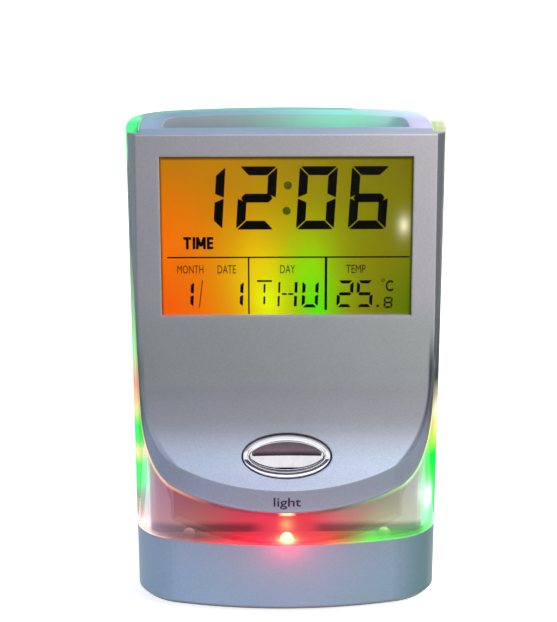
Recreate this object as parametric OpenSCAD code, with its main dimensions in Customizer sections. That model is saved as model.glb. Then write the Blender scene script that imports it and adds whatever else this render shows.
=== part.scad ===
// Pen holder clock: a clear light-guide shell round a silver pen cup,
// a scooped silver fascia with an LCD and a chrome light button, and a base with batteries and LEDs.
// Millimetres. X is the width, the fascia faces -Y, Z is up, and the table is at Z = 0.

/* [Body] */
// Width of the body across the rim
body_w = 72; // [68:0.5:80]
// Depth of the body across the rim
body_d = 45; // [43:0.5:52]
// Height of the rim above the table
body_h = 111; // [104:0.5:125]
// Radius of the bulging front and back
front_r = 92; // [80:1:130]
// Radius of the gently curved sides
side_r = 70; // [60:1:110]
// Radius of the four upright corners
corner_r = 13.4; // [12:0.1:15]
// Draft of every upright wall, in degrees
draft = 0.26; // [0.1:0.02:0.5]

/* [Base] */
// Height of the rubber feet
foot_h = 0.8; // [0.6:0.1:1.5]
// Diameter of the rubber feet
foot_d = 6.4; // [5.8:0.1:6.8]
// Height of the base's top edge above the table
base_h = 17.3; // [17.1:0.1:20]
// Thickness of the base's side wall
base_wall = 1.8; // [1.5:0.1:2]
// Thickness of the deck that closes the base
deck_t = 1.8; // [1.5:0.1:2]
// Chamfer round the bottom edge of the base
base_chamfer = 1.2; // [0.6:0.1:1.5]
// Thickness of the bottom plate
plate_t = 1.6; // [1.5:0.1:1.8]
// Height of the rib on the deck that centres the cup
rib_h = 2.5; // [1.5:0.1:4]
// Thickness of that rib
rib_t = 1.2; // [0.8:0.1:1.5]

/* [Batteries] */
// Diameter of an AAA cell
cell_d = 10.5; // [10.3:0.1:10.5]
// Length of an AAA cell with its nub
cell_l = 44.5; // [44:0.1:44.5]
// Diameter of a cell's nub
nub_d = 3.8; // [3:0.1:3.8]
// Height of a cell's nub
nub_h = 1.2; // [0.8:0.1:1.4]
// Distance between neighbouring cells' axes
cell_pitch = 10.68; // [10.6:0.02:10.7]
// Offset of the cells towards the back
cell_y = 1.2; // [1:0.1:1.2]
// Length that a contact spring is squeezed to
spring_l = 3.9; // [3:0.1:4.5]
// Wire of a contact spring
spring_wire = 0.6; // [0.5:0.05:0.7]
// Thickness of a contact plate
contact_t = 0.4; // [0.3:0.05:0.5]
// Wall of the battery bay
bay_wall = 1.2; // [1:0.1:1.3]
// Thickness of the battery door
door_t = 1.4; // [1.2:0.05:1.4]
// Reach of the door's tongues into the plate's grooves
tongue = 1; // [0.8:0.05:1]

/* [Shell and cup] */
// Wall of the clear outer shell
shell_t = 2.8; // [2.2:0.1:3]
// Wall of the silver cup
cup_wall = 1.4; // [1.2:0.1:1.6]
// Thickness of the cup's top flange
flange_t = 1.8; // [1.5:0.1:2.2]
// Width of the whole rim, from the outside to the pen opening
rim_w = 8.2; // [7.8:0.1:9]
// Front edge of the pen opening
pen_front_y = -3.6; // [-3.8:0.1:-2]
// Height of the cup's floor above the table
cup_floor_z = 28.6; // [27:0.2:34]
// Front wall of the cup's lower part
cup_front_y = -12.7; // [-13:0.1:-12]
// Top of that front wall
cup_front_top = 41.2; // [38:0.2:41.4]

/* [Fascia] */
// Front of the fascia at the rim
face_y = -11.4; // [-11.8:0.1:-11]
// Backward lean of the flat part of the face, in degrees
face_tilt = 1.5; // [1:0.1:2]
// Height where the face begins to scoop forward
scoop_z = 55.4; // [54.4:0.2:56.4]
// Radius of the scoop
scoop_r = 40; // [38:0.5:43]
// Thickness of the fascia
fascia_t = 2; // [1.6:0.1:2.2]
// Seam between fascia and shell at the rim
seam_y = -9.3; // [-9.6:0.1:-8.8]
// Lean of the seam, in degrees
seam_tilt = 2.8; // [2.6:0.1:3]
// Height where the seam begins to scoop forward
seam_z = 49.5; // [49:0.2:50.5]
// Half width of the face between its side chamfers, at the rim
face_half_w = 33.4; // [33.2:0.1:34]
// Outward lean of the chamfers' front edge on the way down, in degrees
edge_lean = 0.35; // [0.3:0.05:0.6]
// Half width of the pocket behind the light button
pocket_half_w = 14; // [13:0.1:15]
// Wall of that pocket
pocket_wall = 1.2; // [1:0.1:1.4]

/* [Display] */
// Width of the visible window
window_w = 56.4; // [54:0.2:57]
// Height of the visible window
window_h = 36.4; // [34:0.2:37]
// Distance from the rim down to the window's centre
window_down = 23.2; // [23:0.1:24.5]
// Thickness of the window lens
lens_t = 0.8; // [0.6:0.1:1]
// Rebate that the lens rests in, beyond the window's edge
lens_edge = 1.3; // [1:0.1:1.6]
// Thickness of the LCD glass
lcd_t = 1.4; // [1.2:0.1:1.6]
// Thickness of the backlight
backlight_t = 1.2; // [1:0.1:1.3]
// Thickness of a circuit board
board_t = 1; // [0.8:0.1:1.2]

/* [Button and keys] */
// Height of the light button above the table
button_z = 37.6; // [36:0.2:38.5]
// Width of the chrome bezel
bezel_w = 20.1; // [19.8:0.1:21.4]
// Height of the chrome bezel
bezel_h = 10; // [9.8:0.1:10.8]
// Width of the bezel's ring
bezel_ring = 1.45; // [1.2:0.05:1.6]
// Open gap between the bezel and the face
bezel_gap = 0.35; // [0.25:0.05:0.45]
// Height that the bezel stands out of the face
bezel_rise = 1; // [0.7:0.1:1.4]
// Travel of the light button
button_travel = 0.5; // [0.3:0.05:0.6]
// Diameter of a setting key
key_d = 3.6; // [3.2:0.1:3.8]
// Travel of a setting key
key_travel = 0.4; // [0.3:0.05:0.45]

/* [Fits] */
// Gap between parts that are fitted together
fit = 0.15; // [0.1:0.01:0.2]
// Gap round parts that slide
slide = 0.2; // [0.15:0.01:0.22]

/* [Hidden] */
$fn = 120;
blend = 0.02;
half_w = body_w / 2;
half_d = body_d / 2;
reach = 2 * body_w;

// Base levels, from the table up
plate_z = foot_h;
plate_top = plate_z + plate_t;
deck_z = base_h - deck_t;
plate_off = -base_wall - fit;
screw_side_in = 6.9;
screw_front_in = 13.5;
screw_back_in = 12.5;
screw_x = half_w - screw_side_in;
screw_front_y = screw_front_in - half_d;
screw_back_y = half_d - screw_back_in;
screw_at = [[screw_x, screw_front_y], [-screw_x, screw_front_y], [screw_x, screw_back_y],
    [-screw_x, screw_back_y]];
screw_d = 2.6;
screw_hole_d = 3;
pilot_d = 2.7;
head_d = 5;
head_h = 1.5;
head_z = plate_z + 0.2;
head_recess_d = 5.4;
pad_d = 7;
pad_top = plate_top + 1.6;
post_d = 5;
screw_bite = 8;
screw_tip_z = base_h + screw_bite;

// Battery bay
cell_rows = [-1, 0, 1];
cell_play = 0.3;
door_top = plate_z + door_t;
cell_z = door_top + cell_play + cell_d / 2;
bay_half_l = (cell_l + spring_l) / 2 + contact_t;
bay_front = cell_y - cell_pitch - cell_d / 2 - fit;
bay_roof_z = cell_z + cell_d / 2 + cell_play;
bay_roof_t = 1.1;
door_inset = 0.6;
door_half_w = bay_half_l - door_inset;
lip_t = 0.55;
contact_side = 8;

// LEDs and their board
led_d = 3;
led_h = 3.5;
led_t = 0.8;
led_front = [0, -17.4];
led_sides = [[22.5, -14.45], [-22.5, -14.45]];
led_strip_back = -12.6;
led_tab_x = [15, 24];
led_tab_back = -7.6;
wire_d = 0.9;
wire_x = [17, 19.5, 22];
wire_y = -9.2;
wire_hole = [8, 3];

// Cup
cup_off = -shell_t - fit;
pen_off = -rim_w;
cup_top_z = body_h - flange_t;
cup_front_edge = pen_front_y - cup_wall;
skirt_front_y = -7.6;
window_gap = 0.3;
boss_d = 6;

// Display stack, as depths behind the face
window_drop = window_down / cos(face_tilt);
lens_d = fascia_t - lens_t - fit;
lcd_d = fascia_t;
light_d = lcd_d + lcd_t;
board_gap = 0.1;
board_d = light_d + backlight_t + board_gap;
chip_gap = 0.05;
lcd_room = 2 * (half_w - shell_t - 1.3);
lcd_w = min(window_w + 5, lcd_room);
lcd_h = window_h + 5.6;
light_w = min(window_w + 3, lcd_room);
light_h = window_h + 1.6;
zebra_h = 1.6;
zebra_gap = 0.4;
board_half_w = 29;
board_tail = 12.2;
board_screw_up = 4;
board_top_drop = window_drop - lcd_h / 2 + zebra_h + zebra_gap;
board_low_drop = window_drop + lcd_h / 2 + zebra_h + board_tail;
board_screw_x = 26.5;
board_screw_drop = board_low_drop - board_screw_up;
board_boss_d = 4.4;
board_screw_d = 1.9;
board_pilot_d = 2;
board_hole_d = 2.2;
plug_drop = board_low_drop - board_screw_up;
chip_at = [-8, -board_low_drop + 6];
can_at = [2, -board_low_drop + 6];
bead_at = [-18, -board_low_drop + 5];

// Light button: the angle of the face there and the depths along its axis
scoop_back = [cos(face_tilt), -sin(face_tilt)];
scoop_c = [face_y - (body_h - scoop_z) * tan(face_tilt), scoop_z] - scoop_r * scoop_back;
button_slope = asin((scoop_c[1] - button_z) / scoop_r);
button_y = scoop_c[0] + scoop_r * cos(button_slope);
bezel_depth = 3.4;
bezel_flange = 1.1;
bezel_lip = 1.2;
button_w = bezel_w - 2 * bezel_ring - 2 * slide;
button_h = bezel_h - 2 * bezel_ring - 2 * slide;
button_dome = 1.9;
button_flange_t = 1;
button_flange_top = -bezel_depth - fit;
stem_d = 3.2;
stem_l = 0.6;
stem_end = button_flange_top - button_flange_t - stem_l;
switch_side = 6;
switch_h = 3.1;
plunger_d = 3.4;
plunger_gap = 0.2;
plunger_grip = 0.9;
plunger_rise = plunger_gap + button_travel;
plunger_l = plunger_rise + plunger_grip;
switch_top = stem_end - plunger_rise;
switch_board_top = switch_top - switch_h;
switch_board_h = 9;
pocket_floor_z = 25.4;
pocket_floor_t = 1.4;
pocket_back_y = -7;

// Setting keys
key_side_in = 6.8;
key_switch_side = 5;
key_x = max(half_w - key_side_in, bay_half_l + bay_wall + fit + key_switch_side / 2);
key_mode_y = -2.3;
key_set_y = 3.7;
key_flange_d = 5;
key_flange_t = 0.8;
key_stem_d = 2.6;
key_flange_z = plate_top + slide;
key_stem_l = 2.2;
key_switch_h = 3;
key_gap = 1.3;
key_switch_z = key_flange_z + key_flange_t + key_travel + key_gap;
key_board_z = key_switch_z + key_switch_h;
key_board_x = [bay_half_l + bay_wall + fit, key_x + key_switch_side / 2 + slide];
key_ledge_t = 0.6;
key_ledge_at = key_switch_side / 2 + fit + key_ledge_t;
key_board_y = [key_mode_y - key_ledge_at, key_set_y + key_ledge_at];

silver = [0.64, 0.66, 0.7];
clear = [0.8, 0.95, 0.88, 0.4];
dark = [0.2, 0.21, 0.23];
green_board = [0.12, 0.42, 0.24];
tin = [0.75, 0.75, 0.72];

// The plan outline is four broad arcs joined by four corner arcs. The corner's centre is where both
// neighbouring arcs, drawn in by the corner's radius, meet. Newton's steps find it.
front_c = [0, half_d - front_r];
side_c = [half_w - side_r, 0];
function short_of(c, arc_c, arc_r) = norm(c - arc_c) - (arc_r - corner_r);
function unit(v) = v / norm(v);
function corner_step(c) =
    let (f = unit(c - front_c), s = unit(c - side_c), det = f[0] * s[1] - f[1] * s[0],
        gf = short_of(c, front_c, front_r), gs = short_of(c, side_c, side_r))
    c - [(gf * s[1] - gs * f[1]) / det, (f[0] * gs - s[0] * gf) / det];
function corner_solve(c, steps) = steps == 0 ? c : corner_solve(corner_step(c), steps - 1);
corner_c = corner_solve([half_w - corner_r - 1, half_d - corner_r - 1], 8);

// How far the outline stands out at a height, with the draft, for a wall moved by off
function out_at(z, off) = off - (body_h - z) * tan(draft);

module both_ways() {
    for (sx = [0, 1]) {
        mirror([sx, 0, 0]) {
            children();
        }
    }
}

module four_ways() {
    both_ways() {
        for (sy = [0, 1]) {
            mirror([0, sy, 0]) {
                children();
            }
        }
    }
}

module arc_cone(c, r, z0, z1, off0, off1) {
    translate([c[0], c[1], z0]) {
        cylinder(h = z1 - z0, r1 = r + off0, r2 = r + off1);
    }
}

// The wedge of a corner that lies outside the corner's arc
module corner_trim(z0, z1, off0, off1) {
    to_front = unit(corner_c - front_c);
    to_side = unit(corner_c - side_c);
    difference() {
        translate([0, 0, z0 - 1]) {
            linear_extrude(z1 - z0 + 2) {
                polygon([corner_c, corner_c + reach * to_front, corner_c + reach * (to_front + to_side),
                    corner_c + reach * to_side]);
            }
        }
        arc_cone(corner_c, corner_r + blend, z0, z1, off0, off1);
    }
}

// A solid with the plan outline, moved out by off0 at its foot and by off1 at its top
module tapered(z0, z1, off0, off1) {
    difference() {
        intersection() {
            arc_cone(front_c, front_r, z0, z1, off0, off1);
            arc_cone(-front_c, front_r, z0, z1, off0, off1);
            arc_cone(side_c, side_r, z0, z1, off0, off1);
            arc_cone(-side_c, side_r, z0, z1, off0, off1);
        }
        four_ways() {
            corner_trim(z0, z1, off0, off1);
        }
    }
}

module drafted(z0, z1, off) {
    tapered(z0, z1, out_at(z0, off), out_at(z1, off));
}

module wall_ring(z0, z1, off, t) {
    difference() {
        drafted(z0, z1, off);
        drafted(z0 - 1, z1 + 1, off - t);
    }
}

// A box between two corners
module span_box(low, high) {
    translate(low) {
        cube(high - low);
    }
}

// All that lies behind a depth, between two heights
module behind(y, z0, z1) {
    span_box([-reach, y, z0], [reach, reach, z1]);
}

// A side profile, drawn as depth and height, swept across the width
module sweep_x() {
    rotate([90, 0, 90]) {
        linear_extrude(reach, center = true) {
            children();
        }
    }
}

// The air in front of a leaning face that scoops forward below z_bend, pushed back by inset
module front_air(y_top, tilt, z_bend, r, inset) {
    up = [sin(tilt), cos(tilt)];
    back = [cos(tilt), -sin(tilt)];
    bend = [y_top - (body_h - z_bend) * tan(tilt), z_bend];
    foot = bend + (inset - blend) * back;
    translate(bend - r * back) {
        circle(r + inset);
    }
    polygon([foot, foot + reach * up, foot + reach * up - reach * back, foot - reach * back]);
}

module face_air(inset) {
    sweep_x() {
        front_air(face_y, face_tilt, scoop_z, scoop_r, inset);
    }
}

module seam_air(inset) {
    sweep_x() {
        front_air(seam_y, seam_tilt, seam_z, scoop_r, inset);
    }
}

// The face's own frame: X across, Y the depth behind the face, Z down from the rim as negative
module on_face() {
    translate([0, face_y, body_h]) {
        rotate([-face_tilt, 0, 0]) {
            children();
        }
    }
}

// The light button's frame: Z out of the scoop, Y up the slope
module on_button() {
    translate([0, button_y, button_z]) {
        rotate([90 - button_slope, 0, 0]) {
            children();
        }
    }
}

module oval(w, h, z0, z1) {
    translate([0, 0, z0]) {
        scale([w / h, 1, 1]) {
            cylinder(d = h, h = z1 - z0);
        }
    }
}

module at_screws() {
    for (p = screw_at) {
        translate([p[0], p[1], 0]) {
            children();
        }
    }
}

module at_leds() {
    for (p = concat([led_front], led_sides)) {
        translate([p[0], p[1], 0]) {
            children();
        }
    }
}

// The base's outside, with the chamfer round its bottom edge
module base_form() {
    intersection() {
        drafted(plate_z, base_h, 0);
        tapered(plate_z, base_h, out_at(plate_z, -base_chamfer),
            out_at(plate_z, base_h - plate_z - base_chamfer));
    }
}

module base_shell() {
    color(silver) {
        difference() {
            union() {
                difference() {
                    base_form();
                    drafted(plate_z - 1, deck_z, -base_wall);
                }
                at_screws() {
                    translate([0, 0, pad_top]) {
                        cylinder(d = post_d, h = deck_z - pad_top + deck_t / 2);
                    }
                }
                difference() {
                    wall_ring(base_h - deck_t / 2, base_h + rib_h, cup_off - cup_wall - fit, rib_t);
                    span_box([-reach, -reach, 0], [reach, cup_front_y + cup_wall + fit, reach]);
                    at_screws() {
                        cylinder(d = boss_d + 4 * fit, h = reach);
                    }
                }
            }
            at_screws() {
                cylinder(d = screw_hole_d, h = reach);
            }
            at_leds() {
                cylinder(d = led_d + 2 * fit, h = reach);
            }
            translate([(wire_x[0] + wire_x[2]) / 2, wire_y, deck_z]) {
                span_box([-wire_hole[0] / 2, -wire_hole[1] / 2, -1], [wire_hole[0] / 2, wire_hole[1] / 2, reach]);
            }
            span_box([-door_half_w - tongue - slide, 0, -1],
                [door_half_w + tongue + slide, reach, door_top + slide]);
        }
    }
}

// The outside of the battery bay, clear of the screw posts
module bay_form() {
    outer_l = bay_half_l + bay_wall;
    difference() {
        span_box([-outer_l, bay_front - bay_wall, plate_z], [outer_l, reach, bay_roof_z + bay_roof_t]);
        at_screws() {
            translate([0, 0, pad_top]) {
                cylinder(d = post_d + 2 * fit, h = reach);
            }
        }
    }
}

module key_ledges() {
    for (y = [key_board_y[0], key_board_y[1] - key_ledge_t]) {
        span_box([bay_half_l + bay_wall / 2, y, key_switch_z], [key_x, y + key_ledge_t, key_board_z]);
    }
}

module base_plate() {
    color(dark) {
        difference() {
            intersection() {
                union() {
                    drafted(plate_z, plate_top, plate_off);
                    bay_form();
                    key_ledges();
                    at_screws() {
                        cylinder(d = pad_d, h = pad_top);
                    }
                }
                drafted(plate_z, base_h, plate_off);
            }
            span_box([-bay_half_l, bay_front, plate_top], [bay_half_l, reach, bay_roof_z]);
            span_box([-door_half_w - slide, bay_front, 0], [door_half_w + slide, reach, bay_roof_z]);
            span_box([-door_half_w - tongue - slide, bay_front, plate_z + lip_t],
                [door_half_w + tongue + slide, reach, plate_top]);
            at_screws() {
                cylinder(d = head_recess_d, h = head_z + head_h);
                cylinder(d = screw_hole_d, h = reach);
            }
            for (y = [key_mode_y, key_set_y]) {
                translate([key_x, y, 0]) {
                    cylinder(d = key_d + 2 * slide, h = plate_top + 1);
                }
            }
        }
    }
}

module battery_door() {
    grip_n = 5;
    grip_pitch = 2;
    grip_w = 14;
    grip_cut = 0.5;
    tongue_back = 13;
    color(dark) {
        difference() {
            union() {
                intersection() {
                    base_form();
                    span_box([-door_half_w, bay_front + 2 * fit, plate_z], [door_half_w, reach, door_top]);
                }
                span_box([-door_half_w - tongue, bay_front + 2 * fit, plate_z + lip_t + fit],
                    [door_half_w + tongue, tongue_back, door_top]);
            }
            for (i = [0:grip_n - 1]) {
                translate([0, i * grip_pitch, plate_z]) {
                    span_box([-grip_w / 2, 0, -1], [grip_w / 2, grip_pitch / 2, grip_cut]);
                }
            }
        }
    }
}

// A row's frame: X along the cell, with its nub at the contact plate on the +X end
module at_cells() {
    for (row = cell_rows) {
        translate([0, cell_y + row * cell_pitch, cell_z]) {
            rotate([0, 0, row == 0 ? 180 : 0]) {
                children();
            }
        }
    }
}

module batteries() {
    nub_x = bay_half_l - contact_t;
    color("darkseagreen") {
        at_cells() {
            translate([nub_x - cell_l, 0, 0]) {
                rotate([0, 90, 0]) {
                    cylinder(d = cell_d, h = cell_l - nub_h);
                    cylinder(d = nub_d, h = cell_l);
                }
            }
        }
    }
}

module battery_springs() {
    turns = 3.5;
    rings_per_turn = 10;
    sides = 6;
    wide_r = 3.4;
    narrow_r = 2;
    play = 0.05;
    rings = turns * rings_per_turn;
    length = spring_l - spring_wire - 2 * play;
    function ring_point(i, k) =
        let (a = 360 * i / rings_per_turn, b = 360 * k / sides,
            r = wide_r + (narrow_r - wide_r) * i / rings + spring_wire / 2 * cos(b))
        [length * i / rings + spring_wire / 2 * sin(b), r * cos(a), r * sin(a)];
    points = [for (i = [0:rings]) for (k = [0:sides - 1]) ring_point(i, k)];
    walls = [for (i = [0:rings - 1]) for (k = [0:sides - 1])
        let (a = i * sides + k, b = i * sides + (k + 1) % sides)
        each [[a, b, b + sides], [a, b + sides, a + sides]]];
    first = [for (k = [sides - 1:-1:0]) k];
    last = [for (k = [0:sides - 1]) rings * sides + k];
    color(tin) {
        at_cells() {
            translate([-bay_half_l + contact_t + spring_wire / 2 + play, 0, 0]) {
                polyhedron(points, concat([first], walls, [last]));
            }
        }
    }
}

module battery_contacts() {
    color(tin) {
        at_cells() {
            both_ways() {
                span_box([bay_half_l - contact_t, -contact_side / 2, -contact_side / 2],
                    [bay_half_l, contact_side / 2, contact_side / 2]);
            }
        }
    }
}

module led_board() {
    side_x = led_sides[0][0] + led_d;
    color(green_board) {
        intersection() {
            drafted(deck_z - led_t, deck_z, plate_off - fit);
            union() {
                span_box([-side_x, -reach, 0], [side_x, led_strip_back, reach]);
                span_box([led_tab_x[0], -reach, 0], [led_tab_x[1], led_tab_back, reach]);
            }
        }
    }
}

module led() {
    translate([0, 0, deck_z]) {
        cylinder(d = led_d, h = led_h - led_d / 2);
        translate([0, 0, led_h - led_d / 2]) {
            sphere(d = led_d);
        }
    }
}

module red_led() {
    color("red") {
        translate([led_front[0], led_front[1], 0]) {
            led();
        }
    }
}

module green_leds() {
    color("lime") {
        for (p = led_sides) {
            translate([p[0], p[1], 0]) {
                led();
            }
        }
    }
}

module clear_shell() {
    color(clear) {
        difference() {
            drafted(base_h, body_h, 0);
            drafted(base_h - 1, body_h + 1, -shell_t);
            seam_air(0);
        }
    }
}

// The inside of the pen cup
module pen_space() {
    intersection() {
        drafted(cup_floor_z, body_h + 1, pen_off);
        behind(pen_front_y, 0, reach);
    }
}

module inner_cup() {
    color(silver) {
        difference() {
            union() {
                difference() {
                    drafted(base_h, body_h, cup_off);
                    drafted(base_h - 1, cup_top_z, cup_off - cup_wall);
                    span_box([-reach, -reach, 0], [reach, cup_front_y, reach]);
                    span_box([-reach, -reach, cup_front_top], [reach, skirt_front_y, reach]);
                    span_box([-reach, -reach, cup_top_z - fit], [reach, cup_front_edge, reach]);
                }
                intersection() {
                    drafted(base_h, cup_front_top, cup_off);
                    span_box([-reach, cup_front_y, 0], [reach, cup_front_y + cup_wall, reach]);
                }
                intersection() {
                    drafted(cup_floor_z - cup_wall, body_h, pen_off + cup_wall);
                    behind(cup_front_edge, 0, reach);
                }
                intersection() {
                    drafted(base_h, cup_floor_z - cup_wall / 2, cup_off);
                    at_screws() {
                        cylinder(d = boss_d, h = reach);
                    }
                }
            }
            pen_space();
            at_screws() {
                cylinder(d = pilot_d, h = screw_tip_z + 1);
            }
            span_box([-pocket_half_w - window_gap, cup_front_y - 1, pocket_floor_z - window_gap],
                [pocket_half_w + window_gap, cup_front_y + cup_wall + 1, reach]);
        }
    }
}

// What the chamfers take off the two sides of the face; they run out above the scoop
module side_chamfers() {
    both_ways() {
        on_face() {
            intersection() {
                translate([face_half_w, 0, 0]) {
                    rotate([0, -edge_lean, 0]) {
                        rotate([0, 0, -45]) {
                            span_box([0, -reach, -reach], [reach, reach, reach]);
                        }
                    }
                }
                span_box([0, -reach, scoop_z - body_h], [reach, reach, reach]);
            }
        }
    }
}

// The skin in front of the seam, and behind it inside the shell, with the top wall that reaches the cup
module fascia_skin() {
    low_z = base_h;
    difference() {
        union() {
            intersection() {
                drafted(low_z, body_h, 0);
                seam_air(-fit);
            }
            drafted(low_z, body_h, cup_off);
        }
        face_air(0);
        side_chamfers();
        behind(cup_front_edge - fit, 0, reach);
        behind(cup_front_y - fit, 0, cup_front_top + fit);
        difference() {
            drafted(low_z - 1, cup_top_z, -fascia_t);
            face_air(fascia_t);
        }
    }
}

// The pocket that holds the switch behind the light button
module fascia_pocket() {
    difference() {
        intersection() {
            drafted(pocket_floor_z, cup_front_top, cup_off);
            span_box([-pocket_half_w, -reach, 0], [pocket_half_w, pocket_back_y, reach]);
        }
        face_air(fascia_t / 2);
        span_box([-pocket_half_w + pocket_wall, -reach, pocket_floor_z + pocket_floor_t],
            [pocket_half_w - pocket_wall, reach, reach]);
    }
    both_ways() {
        on_button() {
            span_box([pocket_half_w - 2 * pocket_wall, -switch_board_h / 2, switch_board_top - 2 * board_t],
                [pocket_half_w - pocket_wall / 2, switch_board_h / 3, switch_board_top - board_t]);
        }
    }
}

module fascia() {
    color(silver) {
        difference() {
            union() {
                fascia_skin();
                fascia_pocket();
                both_ways() {
                    on_face() {
                        translate([board_screw_x, fascia_t / 2, -board_screw_drop]) {
                            rotate([-90, 0, 0]) {
                                cylinder(d = board_boss_d, h = board_d - fascia_t / 2);
                            }
                        }
                    }
                }
            }
            on_face() {
                translate([0, 0, -window_drop]) {
                    span_box([-window_w / 2, -1, -window_h / 2], [window_w / 2, reach, window_h / 2]);
                    span_box([-window_w / 2 - lens_edge - fit, lens_d, -window_h / 2 - lens_edge - fit],
                        [window_w / 2 + lens_edge + fit, fascia_t + 1, window_h / 2 + lens_edge + fit]);
                }
                both_ways() {
                    translate([board_screw_x, fascia_t, -board_screw_drop]) {
                        rotate([-90, 0, 0]) {
                            cylinder(d = board_pilot_d, h = reach);
                        }
                    }
                }
            }
            on_button() {
                oval(bezel_w + 2 * bezel_gap, bezel_h + 2 * bezel_gap, -bezel_depth - 1, bezel_h);
            }
        }
    }
}

module lcd_lens() {
    color([0.9, 0.95, 1, 0.4]) {
        on_face() {
            translate([0, 0, -window_drop]) {
                span_box([-window_w / 2 - lens_edge, lens_d, -window_h / 2 - lens_edge],
                    [window_w / 2 + lens_edge, lens_d + lens_t, window_h / 2 + lens_edge]);
            }
        }
    }
}

module lcd_panel() {
    color("goldenrod") {
        on_face() {
            translate([0, lcd_d, -window_drop]) {
                span_box([-lcd_w / 2, 0, -lcd_h / 2 - zebra_h], [lcd_w / 2, lcd_t, lcd_h / 2 - zebra_h]);
            }
        }
    }
}

module backlight_panel() {
    color("yellowgreen") {
        on_face() {
            translate([0, light_d, -window_drop]) {
                span_box([-light_w / 2, 0, -light_h / 2], [light_w / 2, backlight_t, light_h / 2]);
            }
        }
    }
}

module zebra_strip() {
    color("pink") {
        on_face() {
            translate([0, light_d, -window_drop - light_h / 2 - zebra_gap - zebra_h]) {
                span_box([-light_w / 2, 0, 0], [light_w / 2, board_d - light_d, zebra_h]);
            }
        }
    }
}

module main_board() {
    color(green_board) {
        difference() {
            on_face() {
                span_box([-board_half_w, board_d, -board_low_drop],
                    [board_half_w, board_d + board_t, -board_top_drop]);
            }
            both_ways() {
                on_face() {
                    translate([board_screw_x, 0, -board_screw_drop]) {
                        rotate([-90, 0, 0]) {
                            cylinder(d = board_hole_d, h = reach);
                        }
                    }
                }
            }
        }
    }
}

module clock_chip() {
    chip_d = 9;
    chip_h = 1.3;
    color([0.1, 0.1, 0.1]) {
        on_face() {
            translate([chip_at[0], board_d, chip_at[1]]) {
                rotate([90, 0, 0]) {
                    cylinder(d1 = chip_d, d2 = chip_d / 2, h = chip_h);
                }
            }
        }
    }
}

module quartz_crystal() {
    can_d = 2;
    can_l = 6;
    color(tin) {
        on_face() {
            translate([can_at[0], board_d - can_d / 2 - chip_gap, can_at[1]]) {
                rotate([0, 90, 0]) {
                    cylinder(d = can_d, h = can_l);
                }
            }
        }
    }
}

module temp_sensor() {
    bead_d = 2;
    color("sienna") {
        on_face() {
            translate([bead_at[0], board_d - bead_d / 2 - chip_gap, bead_at[1]]) {
                sphere(d = bead_d);
            }
        }
    }
}

module lead_connector() {
    plug_t = 2.1;
    plug_h = 5;
    plug_side = 1.5;
    color("ivory") {
        on_face() {
            span_box([wire_x[0] - plug_side, board_d - plug_t, -plug_drop],
                [wire_x[2] + plug_side, board_d, plug_h - plug_drop]);
        }
    }
}

module lead_wires() {
    plug_foot_z = body_h - plug_drop * cos(face_tilt);
    end_gap = 0.1;
    color("crimson") {
        for (x = wire_x) {
            translate([x, wire_y, deck_z]) {
                cylinder(d = wire_d, h = plug_foot_z - deck_z - end_gap);
            }
        }
    }
}

module board_screws() {
    top_d = 3.6;
    top_h = 1.2;
    tip_gap = 0.3;
    color(tin) {
        both_ways() {
            on_face() {
                translate([board_screw_x, board_d + board_t, -board_screw_drop]) {
                    rotate([-90, 0, 0]) {
                        cylinder(d = top_d, h = top_h);
                    }
                    rotate([90, 0, 0]) {
                        cylinder(d = board_screw_d, h = board_d + board_t - fascia_t - tip_gap);
                    }
                }
            }
        }
    }
}

module button_bezel() {
    color([0.85, 0.86, 0.88]) {
        on_button() {
            difference() {
                union() {
                    oval(bezel_w, bezel_h, -bezel_depth, bezel_rise);
                    oval(bezel_w + 2 * bezel_lip, bezel_h + 2 * bezel_lip, -bezel_depth,
                        -bezel_depth + bezel_flange);
                }
                oval(bezel_w - 2 * bezel_ring, bezel_h - 2 * bezel_ring, -bezel_depth - 1, bezel_rise + 1);
            }
        }
    }
}

module light_button() {
    dome_base = 0.2;
    dome_spread = 0.62;
    color([0.9, 0.9, 0.92]) {
        on_button() {
            intersection() {
                oval(button_w, button_h, button_flange_top, dome_base + button_dome);
                translate([0, 0, dome_base]) {
                    scale([button_w * dome_spread, button_h * dome_spread, button_dome]) {
                        sphere(r = 1);
                    }
                }
            }
            oval(button_w, button_h, button_flange_top - button_flange_t / 2, dome_base);
            oval(bezel_w - bezel_ring, bezel_h - bezel_ring, button_flange_top - button_flange_t, button_flange_top);
            translate([0, 0, stem_end]) {
                cylinder(d = stem_d, h = button_flange_top - stem_end);
            }
        }
    }
}

module switch_plunger() {
    color(dark) {
        on_button() {
            translate([0, 0, stem_end - plunger_l]) {
                cylinder(d = plunger_d, h = plunger_l);
            }
        }
    }
}

module light_switch() {
    color([0.15, 0.15, 0.17]) {
        on_button() {
            difference() {
                span_box([-switch_side / 2, -switch_side / 2, switch_board_top],
                    [switch_side / 2, switch_side / 2, switch_top]);
                translate([0, 0, stem_end - plunger_l - button_travel - plunger_gap]) {
                    cylinder(d = plunger_d + 2 * slide, h = reach);
                }
            }
        }
    }
}

module switch_board() {
    color(green_board) {
        on_button() {
            span_box([-pocket_half_w + pocket_wall + fit, -switch_board_h / 2, switch_board_top - board_t],
                [pocket_half_w - pocket_wall - fit, switch_board_h / 2, switch_board_top]);
        }
    }
}

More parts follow.
